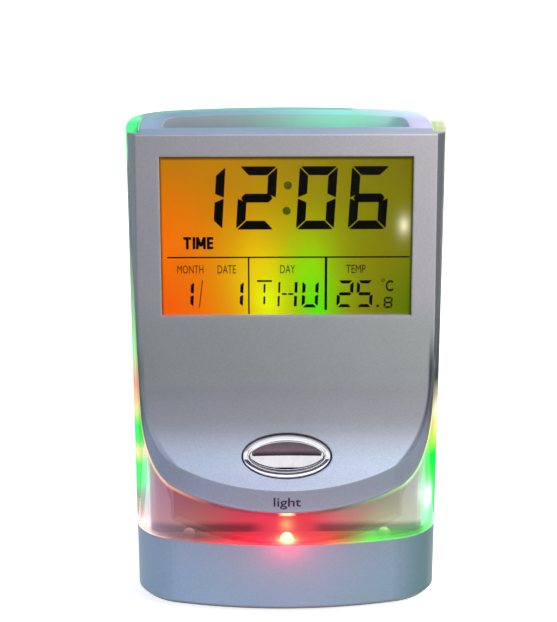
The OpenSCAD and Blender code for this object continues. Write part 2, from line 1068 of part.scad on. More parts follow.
module switch_leads() {
    lead_x = 5;
    lap = 3;
    lead_gap = 0.1;
    edge = switch_board_h / 2;
    middle = switch_board_top - board_t / 2;
    edge_y = button_y - middle * cos(button_slope) + edge * sin(button_slope);
    edge_z = button_z + middle * sin(button_slope) + edge * cos(button_slope);
    top_z = body_h - board_low_drop + lap;
    board_back_y = face_y + (board_d + board_t) / cos(face_tilt) - (body_h - top_z) * tan(face_tilt);
    lead_y = max(edge_y + lead_gap, board_back_y + wire_d / 2 + chip_gap);
    lead_z = edge_z + board_t / 2;
    color("gold") {
        for (x = [-lead_x, lead_x]) {
            translate([x, lead_y, lead_z]) {
                cylinder(d = wire_d, h = top_z - lead_z);
            }
        }
    }
}

module key(y) {
    color(silver) {
        translate([key_x, y, 0]) {
            translate([0, 0, plate_z]) {
                cylinder(d = key_d, h = key_flange_z - plate_z + key_flange_t / 2);
            }
            translate([0, 0, key_flange_z]) {
                cylinder(d = key_flange_d, h = key_flange_t);
                cylinder(d = key_stem_d, h = key_flange_t + key_stem_l);
            }
        }
    }
}

module mode_key() {
    key(key_mode_y);
}

module set_key() {
    key(key_set_y);
}

module key_switches() {
    bore_top = key_flange_z + key_flange_t + key_stem_l + key_travel + slide;
    color([0.15, 0.15, 0.17]) {
        for (y = [key_mode_y, key_set_y]) {
            translate([key_x, y, 0]) {
                difference() {
                    span_box([-key_switch_side / 2, -key_switch_side / 2, key_switch_z],
                        [key_switch_side / 2, key_switch_side / 2, key_board_z]);
                    cylinder(d = key_stem_d + 2 * slide, h = bore_top);
                }
            }
        }
    }
}

module key_board() {
    color(green_board) {
        span_box([key_board_x[0], key_board_y[0], key_board_z],
            [key_board_x[1], key_board_y[1], key_board_z + board_t]);
    }
}

module base_screws() {
    color(tin) {
        at_screws() {
            translate([0, 0, head_z]) {
                cylinder(d = head_d, h = head_h);
            }
            translate([0, 0, head_z + head_h / 2]) {
                cylinder(d = screw_d, h = screw_tip_z - head_z - head_h / 2);
            }
        }
    }
}

module rubber_feet() {
    foot_taper = 0.6;
    color([0.12, 0.12, 0.13]) {
        at_screws() {
            cylinder(d1 = foot_d - foot_taper, d2 = foot_d, h = foot_h);
        }
    }
}

base_shell();
base_plate();
battery_door();
batteries();
battery_springs();
battery_contacts();
led_board();
red_led();
green_leds();
clear_shell();
inner_cup();
fascia();
lcd_lens();
lcd_panel();
backlight_panel();
zebra_strip();
main_board();
clock_chip();
quartz_crystal();
temp_sensor();
lead_connector();
lead_wires();
board_screws();
button_bezel();
light_button();
switch_plunger();
light_switch();
switch_board();
switch_leads();
mode_key();
set_key();
key_switches();
key_board();
base_screws();
rubber_feet();
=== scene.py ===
# %% [markdown]
# # A pen holder clock
# This lesson dresses a CAD model of a desk clock that is also a pen cup.
# The clock is a silver cup inside a clear shell.
# It has a silver fascia in front and a base full of cells and LEDs.
# The CAD model is loaded as a fixed frame, and everything here is in metres in that same frame.

# %% Load the frame
import math

import bmesh
import bpy
from mathutils import Matrix, Vector


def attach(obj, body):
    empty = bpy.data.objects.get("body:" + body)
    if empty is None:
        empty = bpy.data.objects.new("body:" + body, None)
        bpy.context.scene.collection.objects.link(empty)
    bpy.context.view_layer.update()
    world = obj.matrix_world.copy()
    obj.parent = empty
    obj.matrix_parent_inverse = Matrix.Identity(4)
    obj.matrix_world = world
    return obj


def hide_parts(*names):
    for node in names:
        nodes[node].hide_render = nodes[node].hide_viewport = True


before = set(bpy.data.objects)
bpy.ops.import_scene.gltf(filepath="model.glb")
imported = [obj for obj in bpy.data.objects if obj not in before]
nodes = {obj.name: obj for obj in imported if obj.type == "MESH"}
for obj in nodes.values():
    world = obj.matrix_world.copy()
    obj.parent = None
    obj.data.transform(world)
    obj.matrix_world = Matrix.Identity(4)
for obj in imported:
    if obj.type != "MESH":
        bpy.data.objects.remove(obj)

MM = 0.001
RIGHT, BACK, UP = Vector((1, 0, 0)), Vector((0, 1, 0)), Vector((0, 0, 1))
scene = bpy.context.scene
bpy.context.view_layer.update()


def placed(name, data):
    """A new object in the scene."""
    made = bpy.data.objects.new(name, data)
    scene.collection.objects.link(made)
    return made


def aim(thing, direction):
    """Turns a camera or a lamp to look along a direction."""
    thing.rotation_mode = "QUATERNION"
    thing.rotation_quaternion = direction.to_track_quat("-Z", "Y")


# %% [markdown]
# ## The camera
# Its place and lens were worked out from the clock's own edges.
# So a picture of the clock can be laid over this one.
# It stands a good arm's length in front of the clock and looks down on it by about 18 degrees.
# The lens is long, so the upright walls run in only a little towards the table.
# The picture is 557 by 622 pixels, and the shift puts the line of sight where that picture has it.

# %% Camera
PICTURE_W = 557
PICTURE_H = 622
FOCUS_PX = 1838
SIGHT_PX = (285.7, 358.4)
TURN = math.radians(0.79)
DIP = math.radians(17.72)
LOOK_AT = Vector((0, 0, 55.5 * MM))
LOOK_FROM = 432.3 * MM

forward = Vector((math.sin(TURN) * math.cos(DIP), math.cos(TURN) * math.cos(DIP), -math.sin(DIP)))
camera = placed("camera", bpy.data.cameras.new("camera"))
camera.location = LOOK_AT - forward * LOOK_FROM
aim(camera, forward)
camera.data.sensor_fit = "VERTICAL"
camera.data.sensor_height = 36
camera.data.lens = FOCUS_PX / PICTURE_H * camera.data.sensor_height
camera.data.shift_x = (PICTURE_W / 2 - SIGHT_PX[0]) / PICTURE_H
camera.data.shift_y = (SIGHT_PX[1] - PICTURE_H / 2) / PICTURE_H
scene.camera = camera
scene.view_settings.view_transform = "Standard"
print("camera height in mm:", round(camera.location.z / MM))

# %% [markdown]
# ## Helpers for node trees
# Every finish below is a small graph of shader nodes, and every repeated piece is a Geometry Nodes tree.
# Building a node takes three lines each time: make it, set it, link it.
# These helpers fold that into one call, so that the graphs read like recipes.
# An output of a node is held as a Value, and sums of Values make Math nodes, so sums read like sums.

# %% Node helpers
NUMBER = "NodeSocketFloat"
COLOUR = "NodeSocketColor"
VECTOR = "NodeSocketVector"
NO_LIGHT = (0.0, 0.0, 0.0, 1.0)
WHITE = (1.0, 1.0, 1.0, 1.0)


class Bench:
    """Holds the node tree that new nodes go into."""
    tree = None


class Value:
    """An output of a node, for use in sums and as an input of other nodes."""

    def __init__(self, socket):
        self.socket = socket

    def __add__(self, other):
        return calc("ADD", self, other)

    def __sub__(self, other):
        return calc("SUBTRACT", self, other)

    def __rsub__(self, other):
        return calc("SUBTRACT", other, self)

    def __mul__(self, other):
        return calc("MULTIPLY", self, other)

    def __truediv__(self, other):
        return calc("DIVIDE", self, other)

    def __pow__(self, other):
        return calc("POWER", self, other)

    def __abs__(self):
        return calc("ABSOLUTE", self)


def feed(socket, value):
    """Links a Value to an input, or sets the input to a plain value."""
    if isinstance(value, Value):
        Bench.tree.links.new(value.socket, socket)
    elif value is not None:
        socket.default_value = value


def fill(node, **named):
    """Feeds the inputs of a node by name, with _ for a space."""
    for name, value in named.items():
        feed(node.inputs[name.replace("_", " ")], value)


def put(kind, *values, **named):
    """Adds a node: values fill its inputs in order, Capital names are inputs, small names are settings."""
    node = Bench.tree.nodes.new(kind)
    for name in [name for name in named if name[0].islower()]:
        setattr(node, name, named.pop(name))
    for socket, value in zip(node.inputs, values):
        feed(socket, value)
    fill(node, **named)
    return node


def make(kind, *values, out=0, **named):
    """Adds a node and gives one of its outputs."""
    return Value(put(kind, *values, **named).outputs[out])


def outputs(node):
    """All the outputs of a node by name."""
    return {socket.name: Value(socket) for socket in node.outputs}


def calc(operation, *values):
    """One sum of plain numbers."""
    return make("ShaderNodeMath", *values, operation=operation)


def larger(first, second):
    """The larger of two numbers."""
    return calc("MAXIMUM", first, second)


def vector(operation, *values, out=0):
    """One sum of vectors."""
    return make("ShaderNodeVectorMath", *values, operation=operation, out=out)


def remap(value, low, high, to_low=0.0, to_high=1.0, shape="SMOOTHSTEP"):
    """Carries a value from one range to another, smoothly unless told otherwise, and holds it at the ends."""
    return make("ShaderNodeMapRange", value, low, high, to_low, to_high, interpolation_type=shape)


def between(value, start, stop, *ends, **shape):
    """The same from 0 at one place to 1 at another, with the places in millimetres."""
    return remap(value, start * MM, stop * MM, *ends, **shape)


def mix(share, first, second, blend="MIX"):
    """Two colours mixed by a share."""
    node = put("ShaderNodeMix", share, data_type="RGBA", blend_type=blend)
    feed(node.inputs[6], first)
    feed(node.inputs[7], second)
    return Value(node.outputs[2])


def srgb(red, green, blue):
    """A colour as it is read off a screen, from 0 to 255, in Blender's linear numbers."""
    def linear(level):
        level = level / 255
        return level / 12.92 if level <= 0.04045 else ((level + 0.055) / 1.055) ** 2.4
    return (linear(red), linear(green), linear(blue), 1.0)


def ramp(value, stops, steps="LINEAR"):
    """A colour ramp from a list of (place, red, green, blue)."""
    node = put("ShaderNodeValToRGB", value)
    band = node.color_ramp
    band.interpolation = steps
    while len(band.elements) < len(stops):
        band.elements.new(1.0)
    for element, (place, *colour) in zip(band.elements, stops):
        element.position = place
        element.color = srgb(*colour)
    return Value(node.outputs[0])


def two_tone(value, dark, light):
    """A mottle between two tones."""
    return ramp(value, [(0.3, *dark), (0.7, *light)])


def parts(value):
    """The three parts of a vector."""
    return [Value(socket) for socket in put("ShaderNodeSeparateXYZ", value).outputs]


def object_place():
    """Where a point is, in the clock's own frame, in metres."""
    return make("ShaderNodeTexCoord", out="Object")


def object_axes():
    """The three parts of that place."""
    return parts(object_place())


def surface_normal():
    """Which way a surface faces."""
    return make("ShaderNodeNewGeometry", out="Normal")


def noise(scale, detail=2.0, place=None):
    """Cloudy noise over the clock, or over a place of its own."""
    return make("ShaderNodeTexNoise", place or object_place(), Scale=scale, Detail=detail)


def bumped(strength, depth, height, normal=None):
    """The normal of a surface with a fine relief, whose depth is in millimetres."""
    return make("ShaderNodeBump", Strength=strength, Distance=depth * MM, Height=height, Normal=normal)


def group(tree, **named):
    """Uses a shader group and gives all of its outputs by name."""
    return outputs(put("ShaderNodeGroup", node_tree=tree, **named))


def opened(tree):
    """Starts work in a group and gives it with its inside ends."""
    Bench.tree = tree
    return tree, outputs(put("NodeGroupInput")), put("NodeGroupOutput")


def new_group(name, inputs, **results):
    """Starts an empty shader group, from its inputs' usual values and the kinds of its results."""
    tree = bpy.data.node_groups.new(name, "ShaderNodeTree")
    for label, value in inputs.items():
        kind = COLOUR if isinstance(value, tuple) else NUMBER
        tree.interface.new_socket(label, in_out="INPUT", socket_type=kind).default_value = value
    for label, kind in results.items():
        tree.interface.new_socket(label, in_out="OUTPUT", socket_type=kind)
    return opened(tree)


def blank(owner):
    """Empties the node tree of a material or a world and starts work in it."""
    owner.use_nodes = True
    Bench.tree = owner.node_tree
    Bench.tree.nodes.clear()
    return owner


def new_material(name, **named):
    """Starts a material with one Principled BSDF, whose plain values are set by name."""
    material = blank(bpy.data.materials.new(name))
    shader = put("ShaderNodeBsdfPrincipled", **named)
    put("ShaderNodeOutputMaterial", Value(shader.outputs[0]))
    return material, shader


def speckled(name, scale, detail, dark, light, rough, low=0.2, **named):
    """A plain finish in which one noise sets both the tone and the roughness."""
    material, shader = new_material(name, **named)
    cloud = noise(scale, detail)
    fill(shader, Base_Color=two_tone(cloud, dark, light), Roughness=remap(cloud, low, 0.8, *rough))
    return material, shader, cloud


def dress(material, *names):
    """Gives a finish to CAD nodes, whose shapes stay as they are."""
    for name in names:
        nodes[name].material_slots[0].material = material
    print(material.name, "on", ", ".join(names))


# %% [markdown]
# ## A pale studio
# The clock stands on a white table in front of white paper.
# The world shows plain white to the camera, to reflections and through clear plastic.
# Everything else gets only the light of a dim sky.
# So the background is white without pouring more light on the clock, and the floor still takes its shadow.

# %% World and floor
AMBIENT = 0.04
FLOOR_REACH = 3.0


def seen_directly():
    """1 for rays from the camera, from reflections and through clear plastic."""
    path = outputs(put("ShaderNodeLightPath"))
    return larger(path["Is Camera Ray"], larger(path["Is Glossy Ray"], path["Is Transmission Ray"]))


scene.world = blank(bpy.data.worlds.new("white_paper"))
sky = make("ShaderNodeBackground", (0.9, 0.95, 1.0, 1.0), AMBIENT)
paper = make("ShaderNodeBackground", WHITE, 1.0)
put("ShaderNodeOutputWorld", make("ShaderNodeMixShader", seen_directly(), sky, paper))

floor_mesh = bpy.data.meshes.new("table_top")
corners = [(x * FLOOR_REACH, y * FLOOR_REACH, 0) for x, y in ((-1, -1), (1, -1), (1, 1), (-1, 1))]
floor_mesh.from_pydata(corners, [], [(0, 1, 2, 3)])
floor = placed("table_top", floor_mesh)

floor_paint = blank(bpy.data.materials.new("white_table"))
paint = make("ShaderNodeBsdfDiffuse", (0.78, 0.79, 0.8, 1.0))
away = vector("LENGTH", object_place(), out="Value")
lift = make("ShaderNodeEmission", WHITE, seen_directly() * remap(away, 0.05, 0.4, 0.86, 1.0))
put("ShaderNodeOutputMaterial", make("ShaderNodeAddShader", paint, lift))
floor_mesh.materials.append(floor_paint)
print("floor reaches", FLOOR_REACH, "m each way")

# %% [markdown]
# ## Soft lamps and cards
# A warm soft box stands close on the right, so the fascia grows brighter towards it.
# A narrow blue one hangs straight overhead: it passes by the upright face and lights the scoop below it.
# A faint one fills in the left side, and one behind lights the back.
# Chrome shows only what stands round it, so a mauve ceiling gives the button its dark upper half.
# Dark cloths on the table keep white glare out of the clear shell, and a mint card behind tints the rim.

# %% Lamps
def soft_box(name, place, size, level, colour):
    """An area lamp aimed at the clock; level 1 lights a white sheet there to white."""
    lamp = bpy.data.lights.new(name, "AREA")
    lamp.shape = "RECTANGLE"
    lamp.size, lamp.size_y = size
    lamp.color = colour
    way = LOOK_AT - Vector(place)
    lamp.energy = level * math.pi ** 2 * way.length ** 2
    body = placed(name, lamp)
    body.location = place
    aim(body, way)
    body.visible_camera = False
    body.visible_glossy = False
    print(name, round(lamp.energy, 2), "W at", round(way.length, 2), "m")


soft_box("main_box", (0.12, -0.12, 0.15), (0.05, 0.07), 0.84, (1.0, 0.93, 0.82))
soft_box("over_box", (0.0, -0.03, 0.5), (0.3, 0.03), 0.5, (0.05, 0.25, 1.0))
soft_box("left_box", (-0.45, -0.3, 0.2), (0.4, 0.3), 0.03, (0.8, 0.9, 1.0))
soft_box("back_box", (0.1, 0.6, 0.35), (0.4, 0.3), 0.5, (0.95, 0.97, 1.0))

# %% Cards
def card(name, corners, axis, low, high, stops):
    """A card that only reflections and views through clear plastic see, shaded along one axis."""
    paint = blank(bpy.data.materials.new(name))
    along = remap(object_axes()[axis], low, high)
    felt = remap(noise(3.0), 0.3, 0.7, 0.0, 0.15)
    tone = mix(felt, ramp(along, stops), srgb(20, 18, 22))
    put("ShaderNodeOutputMaterial", make("ShaderNodeEmission", tone, 1.0))
    mesh = bpy.data.meshes.new(name)
    mesh.from_pydata(corners, [], [(0, 1, 2, 3)])
    mesh.materials.append(paint)
    made = placed(name, mesh)
    made.visible_camera = False
    made.visible_diffuse = False
    made.visible_shadow = False
    print(name, "from", corners[0], "to", corners[2])


def flat_card(name, x0, x1, y0, y1, z, stops):
    """A level card, shaded from front to back."""
    card(name, [(x0, y0, z), (x1, y0, z), (x1, y1, z), (x0, y1, z)], 1, y0, y1, stops)


flat_card("ceiling", -1.1, 1.1, -1.28, 0.1, 0.9, [
    (0.0, 52, 48, 60), (0.12, 84, 70, 82), (0.4, 136, 112, 122), (1.0, 104, 96, 104)])
flat_card("desk_cloth", -0.4, 0.4, -0.85, -0.057, 0.002, [
    (0.0, 70, 64, 74), (0.3, 40, 36, 42), (0.95, 40, 36, 42), (1.0, 78, 72, 84)])
for side, x0, far in (("left", -0.3, (180, 192, 186)), ("right", 0.03, (222, 224, 214))):
    flat_card(side + "_cloth", x0, x0 + 0.27, 0.03, 0.6, 0.002, [(0.05, 30, 34, 32), (0.5, *far)])
mint_corners = [(-0.7, 0.9, 0.03), (0.06, 0.9, 0.03), (0.06, 0.9, 0.7), (-0.7, 0.9, 0.7)]
card("mint_card", mint_corners, 2, 0.03, 0.7, [(0.0, 140, 220, 196), (1.0, 164, 226, 210)])
scene.objects["mint_card"].visible_transmission = False

# %% [markdown]
# ## Groups that several finishes share
# Moulded plastic has a fine grain that breaks up its highlights, and a broad unevenness of tone.
# Silver paint adds small flakes, each of which catches the light a little differently.
# A moulded edge is never sharp: the Bevel node rounds it for the light, and marks the edge, which the finishes
# below paint paler: as wear, and on the silver paint also as a painted highlight.

# %% Grain, flakes and edges
moulded_grain, given, made = new_group(
    "moulded_grain", {"Scale": 3000.0, "Patch": 60.0}, Height=NUMBER, Shade=NUMBER)
fill(made, Height=noise(given["Scale"], 3.0), Shade=noise(given["Patch"], 4.0))

silver_flakes, given, made = new_group(
    "silver_flakes", {"Tint": (0.5, 0.5, 0.5, 1.0), "Flake": 5200.0}, Color=COLOUR, Roughness=NUMBER)
cells = make("ShaderNodeTexVoronoi", object_place(), Scale=given["Flake"], out="Color")
spark = make("ShaderNodeSeparateColor", cells)
level = remap(spark, 0.0, 1.0, 0.93, 1.05) + remap(noise(55.0, 5.0), 0.2, 0.8, -0.025, 0.025)
even = make("ShaderNodeCombineColor", level, level, level)
fill(made, Color=mix(1.0, given["Tint"], even, "MULTIPLY"), Roughness=remap(spark, 0.0, 1.0, 0.36, 0.48))

soft_edge, given, made = new_group("soft_edge", {"Radius": 0.4 * MM}, Normal=VECTOR, Edge=NUMBER)
rounded = make("ShaderNodeBevel", given["Radius"], samples=6)
agree = vector("DOT_PRODUCT", rounded, surface_normal(), out="Value")
fill(made, Normal=rounded, Edge=remap(agree, 0.99, 0.9))
print("groups:", [tree.name for tree in bpy.data.node_groups])

# %% [markdown]
# ## Light from three LEDs
# A red LED sits in the middle of the base and a green one near each end, all under the clear shell.
# Their light spreads over the liner, the deck and the foot of the fascia, and fades with distance.
# It is painted into the finishes as a glow round each lamp.
# So it costs no extra render time and stays in the exported part.

# %% Glow round the LEDs
RED_AT = (0.0, -17.4, 17.5)
GREEN_AT = ((-22.5, -14.5, 17.5), (22.5, -14.5, 17.5))
# A reach so long that a glow does not fade in that direction.
DEEP = 1000.0


def glow(centre, reach, sharp=2.0):
    """1 at a centre, fading to nothing well beyond its reach; both in millimetres."""
    away = vector("SUBTRACT", object_place(), [v * MM for v in centre])
    share = vector("DIVIDE", away, [v * MM for v in reach])
    return (vector("DOT_PRODUCT", share, share, out="Value") + 1.0) ** -sharp


def tinted(strength, colour):
    """A light of one colour, as strong as a value says."""
    return mix(strength, NO_LIGHT, colour)


def summed(*colours):
    """Lights that fall on the same place add up."""
    total = colours[0]
    for colour in colours[1:]:
        total = mix(1.0, total, colour, "ADD")
    return total


led_wash, given, made = new_group("led_wash", {"Red": 1.0, "Green": 1.0}, Color=COLOUR)
core = glow(RED_AT, (9.0, 9.0, 8.0))
spread = glow(RED_AT, (26.0, 16.0, 10.0))
right = glow(GREEN_AT[1], (11.0, 14.0, 9.0))
left = glow(GREEN_AT[0], (9.0, 14.0, 8.0))
fill(made, Color=summed(
    tinted(calc("MULTIPLY_ADD", spread, 0.8, core) * given["Red"], (1.0, 0.02, 0.08, 1.0)),
    tinted(calc("MULTIPLY_ADD", left, 0.35, right) * given["Green"], (0.06, 0.85, 0.12, 1.0))))
print("LED glow from", 1 + len(GREEN_AT), "lamps")

# %% [markdown]
# ## Silver paint
# The fascia and the base are sprayed with fine silver paint over grey plastic.
# It is neither mirror nor chalk: a quarter metal, with a soft sheen and a slight grain.
# The fascia's rim and its lower band turn away from the lamps, so they are painted darker and bluer there, as
# painted shade, lighter at the left and darker at the right.

# %% Silver paint
def washed(red, green):
    """The LEDs' light on a surface."""
    return group(led_wash, Red=red, Green=green)["Color"]


def across():
    """0 at the clock's left side and 1 at its right."""
    return between(object_axes()[0], -35, 35, shape="LINEAR")


def silver_paint(name, tint, light, edge):
    """Sprayed silver with a tint that holds painted light and shade, edges rounded and painted paler as wear and
    as a painted highlight, and the LEDs' light on it.
    """
    material, shader = new_material(name, Metallic=0.25, Emission_Strength=1.0)
    grain = group(moulded_grain, Scale=2600.0, Patch=45.0)
    flakes = group(silver_flakes, Tint=tint())
    border = group(soft_edge, Radius=edge * MM)
    # The edges are painted paler, as wear and as a painted highlight.
    fill(shader,
         Base_Color=mix(border["Edge"] * 0.25, flakes["Color"], srgb(206, 208, 216)),
         Roughness=flakes["Roughness"],
         Normal=bumped(0.12, 0.05, grain["Height"], border["Normal"]),
         Emission_Color=light())
    return material


# %% Fascia
# Painted light and shade on the fascia: shade in the hollow where the scoop begins, a bluish sky reflection on
# the scoop, a highlight on the top front edge, and rim tones lighter at the left, darker at the right and darker
# lower down the rim.
FACE_SILVER, LOW_FACE = srgb(184, 184, 190), srgb(173, 179, 179)
SCOOP_PAINTED_SKY = (0.78, 0.9, 1.0, 1.0)
HOLLOW_SHADE, CREST_HIGHLIGHT = srgb(164, 166, 170), srgb(226, 228, 236)
RIM_LIT_LEFT, RIM_SHADED_RIGHT = srgb(180, 192, 190), srgb(82, 84, 95)
RIM_SHADE = (0.65, 0.64, 0.68, 1.0)
BAND_LIGHT_AND_SHADE = [(0.04, 174, 186, 198), (0.22, 190, 202, 220), (0.84, 154, 167, 181), (0.95, 116, 125, 137)]
SCOOP_HALF, SCOOP_TOP, SCOOP_DEEP = 32.4 * MM, 56 * MM, 28.4 * MM


def fascia_tone_and_painted_light():
    """Face silver, darker lower down, with painted shade where the scoop begins, a painted bluish sky reflection
    on the scoop and a painted highlight on the top front edge; the chamfers and the band below get rim silver
    with painted shade, lighter at the left and darker at the right.
    """
    side, _, up = parts(surface_normal())
    x, y, z = object_axes()
    drop = larger(SCOOP_TOP - z, 0.0)
    outline = (x / SCOOP_HALF) ** 2.0 + (drop / SCOOP_DEEP) ** 2.6
    beside = remap(outline, 0.99, 1.03) * between(z, 68, 56)
    chamfer = larger(beside, remap(abs(side), 0.2, 0.5))
    band = larger(chamfer, between(y, -15, -16.5) * remap(up, 0.2, 0.06))
    # Painted shade on the rim: lighter at the left, darker at the right and lower down, and the band below in
    # painted light and shade across.
    rim = mix(across(), RIM_LIT_LEFT, RIM_SHADED_RIGHT)
    rim = mix(between(z, 68, 58), rim, RIM_SHADE, "MULTIPLY")
    rim = mix(between(z, 50, 40), rim, ramp(across(), BAND_LIGHT_AND_SHADE))
    face = mix(between(z, 76, 66), FACE_SILVER, LOW_FACE)
    # Painted shade where the face bends into the scoop.
    face = mix(remap(up, 0.03, 0.13) * between(z, 70, 60), face, HOLLOW_SHADE)
    # A painted highlight along the top front edge.
    face = mix(between(z, 110.5, 110.8) * remap(up, 0.5, 0.2), face, CREST_HIGHLIGHT)
    # A painted bluish sky reflection on the scoop, which faces up.
    face = mix(remap(up, 0.25, 0.56) * between(z, 70, 60), face, SCOOP_PAINTED_SKY)
    return mix(band, face, rim)


def fascia_light():
    """A little red from below."""
    return washed(0.2, 0.0)


dress(silver_paint("fascia_silver", fascia_tone_and_painted_light, fascia_light, 0.7), "fascia")

# %% Base
FOOT_Z, RIM_Z = 17.3, 111.0
# The base's front tones are painted light and shade across it, with the green LED's light painted at the right.
BASE_FRONT_LIGHT_AND_SHADE = [(0.0, 150, 178, 194), (0.15, 168, 194, 212), (0.6, 156, 172, 190), (0.85, 132, 158, 172),
               (0.97, 62, 104, 106)]
BACK_SILVER, FOOT_SHADOW, DECK_SHADE = srgb(152, 170, 186), srgb(70, 74, 96), srgb(52, 48, 52)


def on_deck():
    """1 on the deck inside the base's rim, and 0 on its walls."""
    return remap(parts(surface_normal())[2], 0.6, 0.8) * between(object_axes()[2], 13, 14)


def base_tone_and_painted_light():
    """Base silver with painted light and shade across its front and green at its right where the green LED's
    light is painted, a painted shadow at the foot, and the deck painted dark as shade.
    """
    _, y, z = object_axes()
    # Painted light and shade across the front, fading to plain silver at the back.
    outside = mix(between(y, -1, 12), ramp(across(), BASE_FRONT_LIGHT_AND_SHADE), BACK_SILVER)
    # A painted shadow along the foot.
    outside = mix(between(z, 2.2, 1.2), outside, FOOT_SHADOW)
    # The deck under the shell is painted dark, as painted shade.
    return mix(on_deck(), outside, DECK_SHADE)


def base_light():
    """Red on the front wall; on the deck red, green, a lilac sheen at the left and a hot spot by the LED."""
    lilac = between(object_axes()[0], -18, -28)
    deck = summed(
        washed(1.1, 0.5),
        tinted(lilac, (0.2, 0.13, 0.22, 1.0)),
        tinted(glow((19.8, -16.0, FOOT_Z), (3.2, 2.0, 2.0), 3.0), (0.03, 0.8, 0.03, 1.0)),
        tinted(glow((0.0, -18.8, FOOT_Z), (2.8, 2.4, 2.4), 3.0), (2.0, 1.6, 0.7, 1.0)))
    front = summed(
        washed(0.1, 0.0),
        tinted(glow((0.0, -22.0, FOOT_Z), (6.8, 8.0, 5.0)), (0.74, 0.0, 0.06, 1.0)))
    return mix(on_deck(), front, deck)


dress(silver_paint("base_silver", base_tone_and_painted_light, base_light, 0.5), "base_shell")

# %% [markdown]
# ## The cup
# The cup is silver plastic too, but moulded in its colour, so it is a little smoother and has no flakes.
# Its outside is the liner that the LEDs light up behind the clear shell; the liner is painted dark as shade, and
# the LEDs' light and a few pools of light are painted onto it as glow.

# %% Cup silver
cup_plastic, shader = new_material("cup_plastic", Metallic=0.2, Emission_Strength=1.0)
grain = group(moulded_grain, Scale=2200.0, Patch=70.0)
border = group(soft_edge, Radius=0.5 * MM)
x, y, z = object_axes()
# The liner, seen through the shell, is painted dark as shade and lit only by the painted light below.
liner = between(y, -9.5, -12) * between(z, 46, 42)
# The ends of the rim are painted paler, as painted light.
rim_end_highlight = between(z, 108, 110.5) * between(abs(x), 26, 31)
tone = two_tone(grain["Shade"], (172, 176, 190), (186, 190, 202))
tone = mix(border["Edge"], tone, srgb(204, 208, 220))
tone = mix(rim_end_highlight, tone, srgb(218, 210, 214))
# A mint glow at the back of the rim and a lilac one at its right end are painted light.
mint = between(z, 92, 110) * between(y, 4, 12) * glow((14.0, 0.0, 0.0), (22.0, DEEP, DEEP))
inner_end_light = between(z, 92, 108) * between(x, 16, 27)
# Pink, lilac, rose and pale pools of painted light on the liner.
pink, lilac, rose, pale = (
    between(x, start, stop) * liner for start, stop in ((0, -20), (-18, -30), (4, 14), (14, 30)))
# A painted shadow dims the liner's glow at its foot, beside the red LED.
corner = between(z, 20.4, 18.4) * liner * between(abs(x), 4, 9)
liner_light = summed(
    washed(1.25, 0.35),
    tinted(mint, (0.0, 0.45, 0.2, 1.0)),
    tinted(inner_end_light, (0.14, 0.11, 0.18, 1.0)),
    tinted(pink, (0.2, 0.06, 0.09, 1.0)),
    tinted(lilac, (0.1, 0.05, 0.1, 1.0)),
    tinted(rose, (0.13, 0.11, 0.15, 1.0)),
    tinted(pale, (0.17, 0.22, 0.15, 1.0)),
    tinted(glow((0.0, -15.5, 19.0), (2.0, 6.0, 2.0), 3.0), (1.0, 0.8, 0.25, 1.0)))
fill(shader,
     # Painted shade on the liner.
     Base_Color=mix(liner, tone, srgb(50, 46, 52)),
     Roughness=remap(grain["Shade"], 0.2, 0.8, 0.34, 0.46),
     Normal=bumped(0.1, 0.04, grain["Height"], border["Normal"]),
     Emission_Color=mix(corner * 0.7, liner_light, NO_LIGHT))
dress(cup_plastic, "inner_cup")

# %% [markdown]
# ## The clear shell as a light guide
# Clear acrylic carries the LEDs' light inside its wall and lets it out only at its edges.
# A path tracer could follow that light, but only with many rays, so the edges are given their glow here.
# The glow runs along the seam, the foot and the rim, and up the sides in bands of green, yellow and red.
# The bands lean a little, lower behind than in front, because the LEDs are near the front. A white-lilac strip
# at the left front corner and a glint of the red LED at the foot of the seam are painted highlights, and where
# the edges glow the shell is painted dark, as painted shade.

# %% Colours of the glow
SEAM_CENTRE = (-52.25, 51.45)
SEAM_R = 40.0


def up_the_side(stops):
    """Ramp stops from heights in millimetres."""
    return [((height - FOOT_Z) / (RIM_Z - FOOT_Z), *colour) for height, *colour in stops]


LEFT_BANDS = up_the_side([
    (17.6, 226, 160, 116), (21.0, 150, 112, 78), (25.5, 96, 140, 84), (28.0, 10, 222, 80),
    (33.5, 10, 226, 70), (36.0, 236, 206, 128), (38.5, 20, 220, 70), (43.0, 30, 220, 80),
    (47.0, 220, 206, 140), (53.0, 196, 120, 110), (60.0, 110, 170, 110), (72.0, 90, 120, 90),
    (86.0, 40, 48, 46), (103.0, 40, 48, 46), (107.0, 0, 250, 90)])
RIGHT_BANDS = up_the_side([
    (17.6, 60, 210, 80), (20.0, 40, 214, 90), (27.0, 20, 216, 80), (29.0, 0, 222, 50),
    (36.0, 4, 226, 56), (39.0, 170, 220, 80), (43.0, 216, 204, 120), (46.5, 236, 224, 180),
    (50.0, 150, 146, 124), (54.0, 36, 38, 40), (100.0, 36, 38, 40), (107.0, 150, 184, 80)])
SEAM_TONES = [
    (0.05, 230, 180, 136), (0.15, 210, 140, 116), (0.26, 110, 50, 60), (0.47, 200, 20, 60),
    (0.488, 255, 244, 170), (0.512, 255, 244, 170), (0.53, 200, 30, 60), (0.66, 60, 80, 60),
    (0.8, 110, 160, 110), (0.95, 180, 230, 140)]
FOOT_TONES = [
    (0.04, 240, 190, 140), (0.12, 120, 70, 60), (0.4, 230, 40, 60), (0.5, 255, 50, 90), (0.62, 220, 70, 50),
    (0.75, 80, 190, 60), (1.0, 60, 190, 80)]
ANKLE_TONES = [
    (0.04, 100, 80, 100), (0.2, 60, 10, 14), (0.38, 190, 10, 36), (0.62, 180, 20, 20), (0.7, 100, 70, 20),
    (0.78, 10, 150, 20), (0.95, 0, 84, 24)]
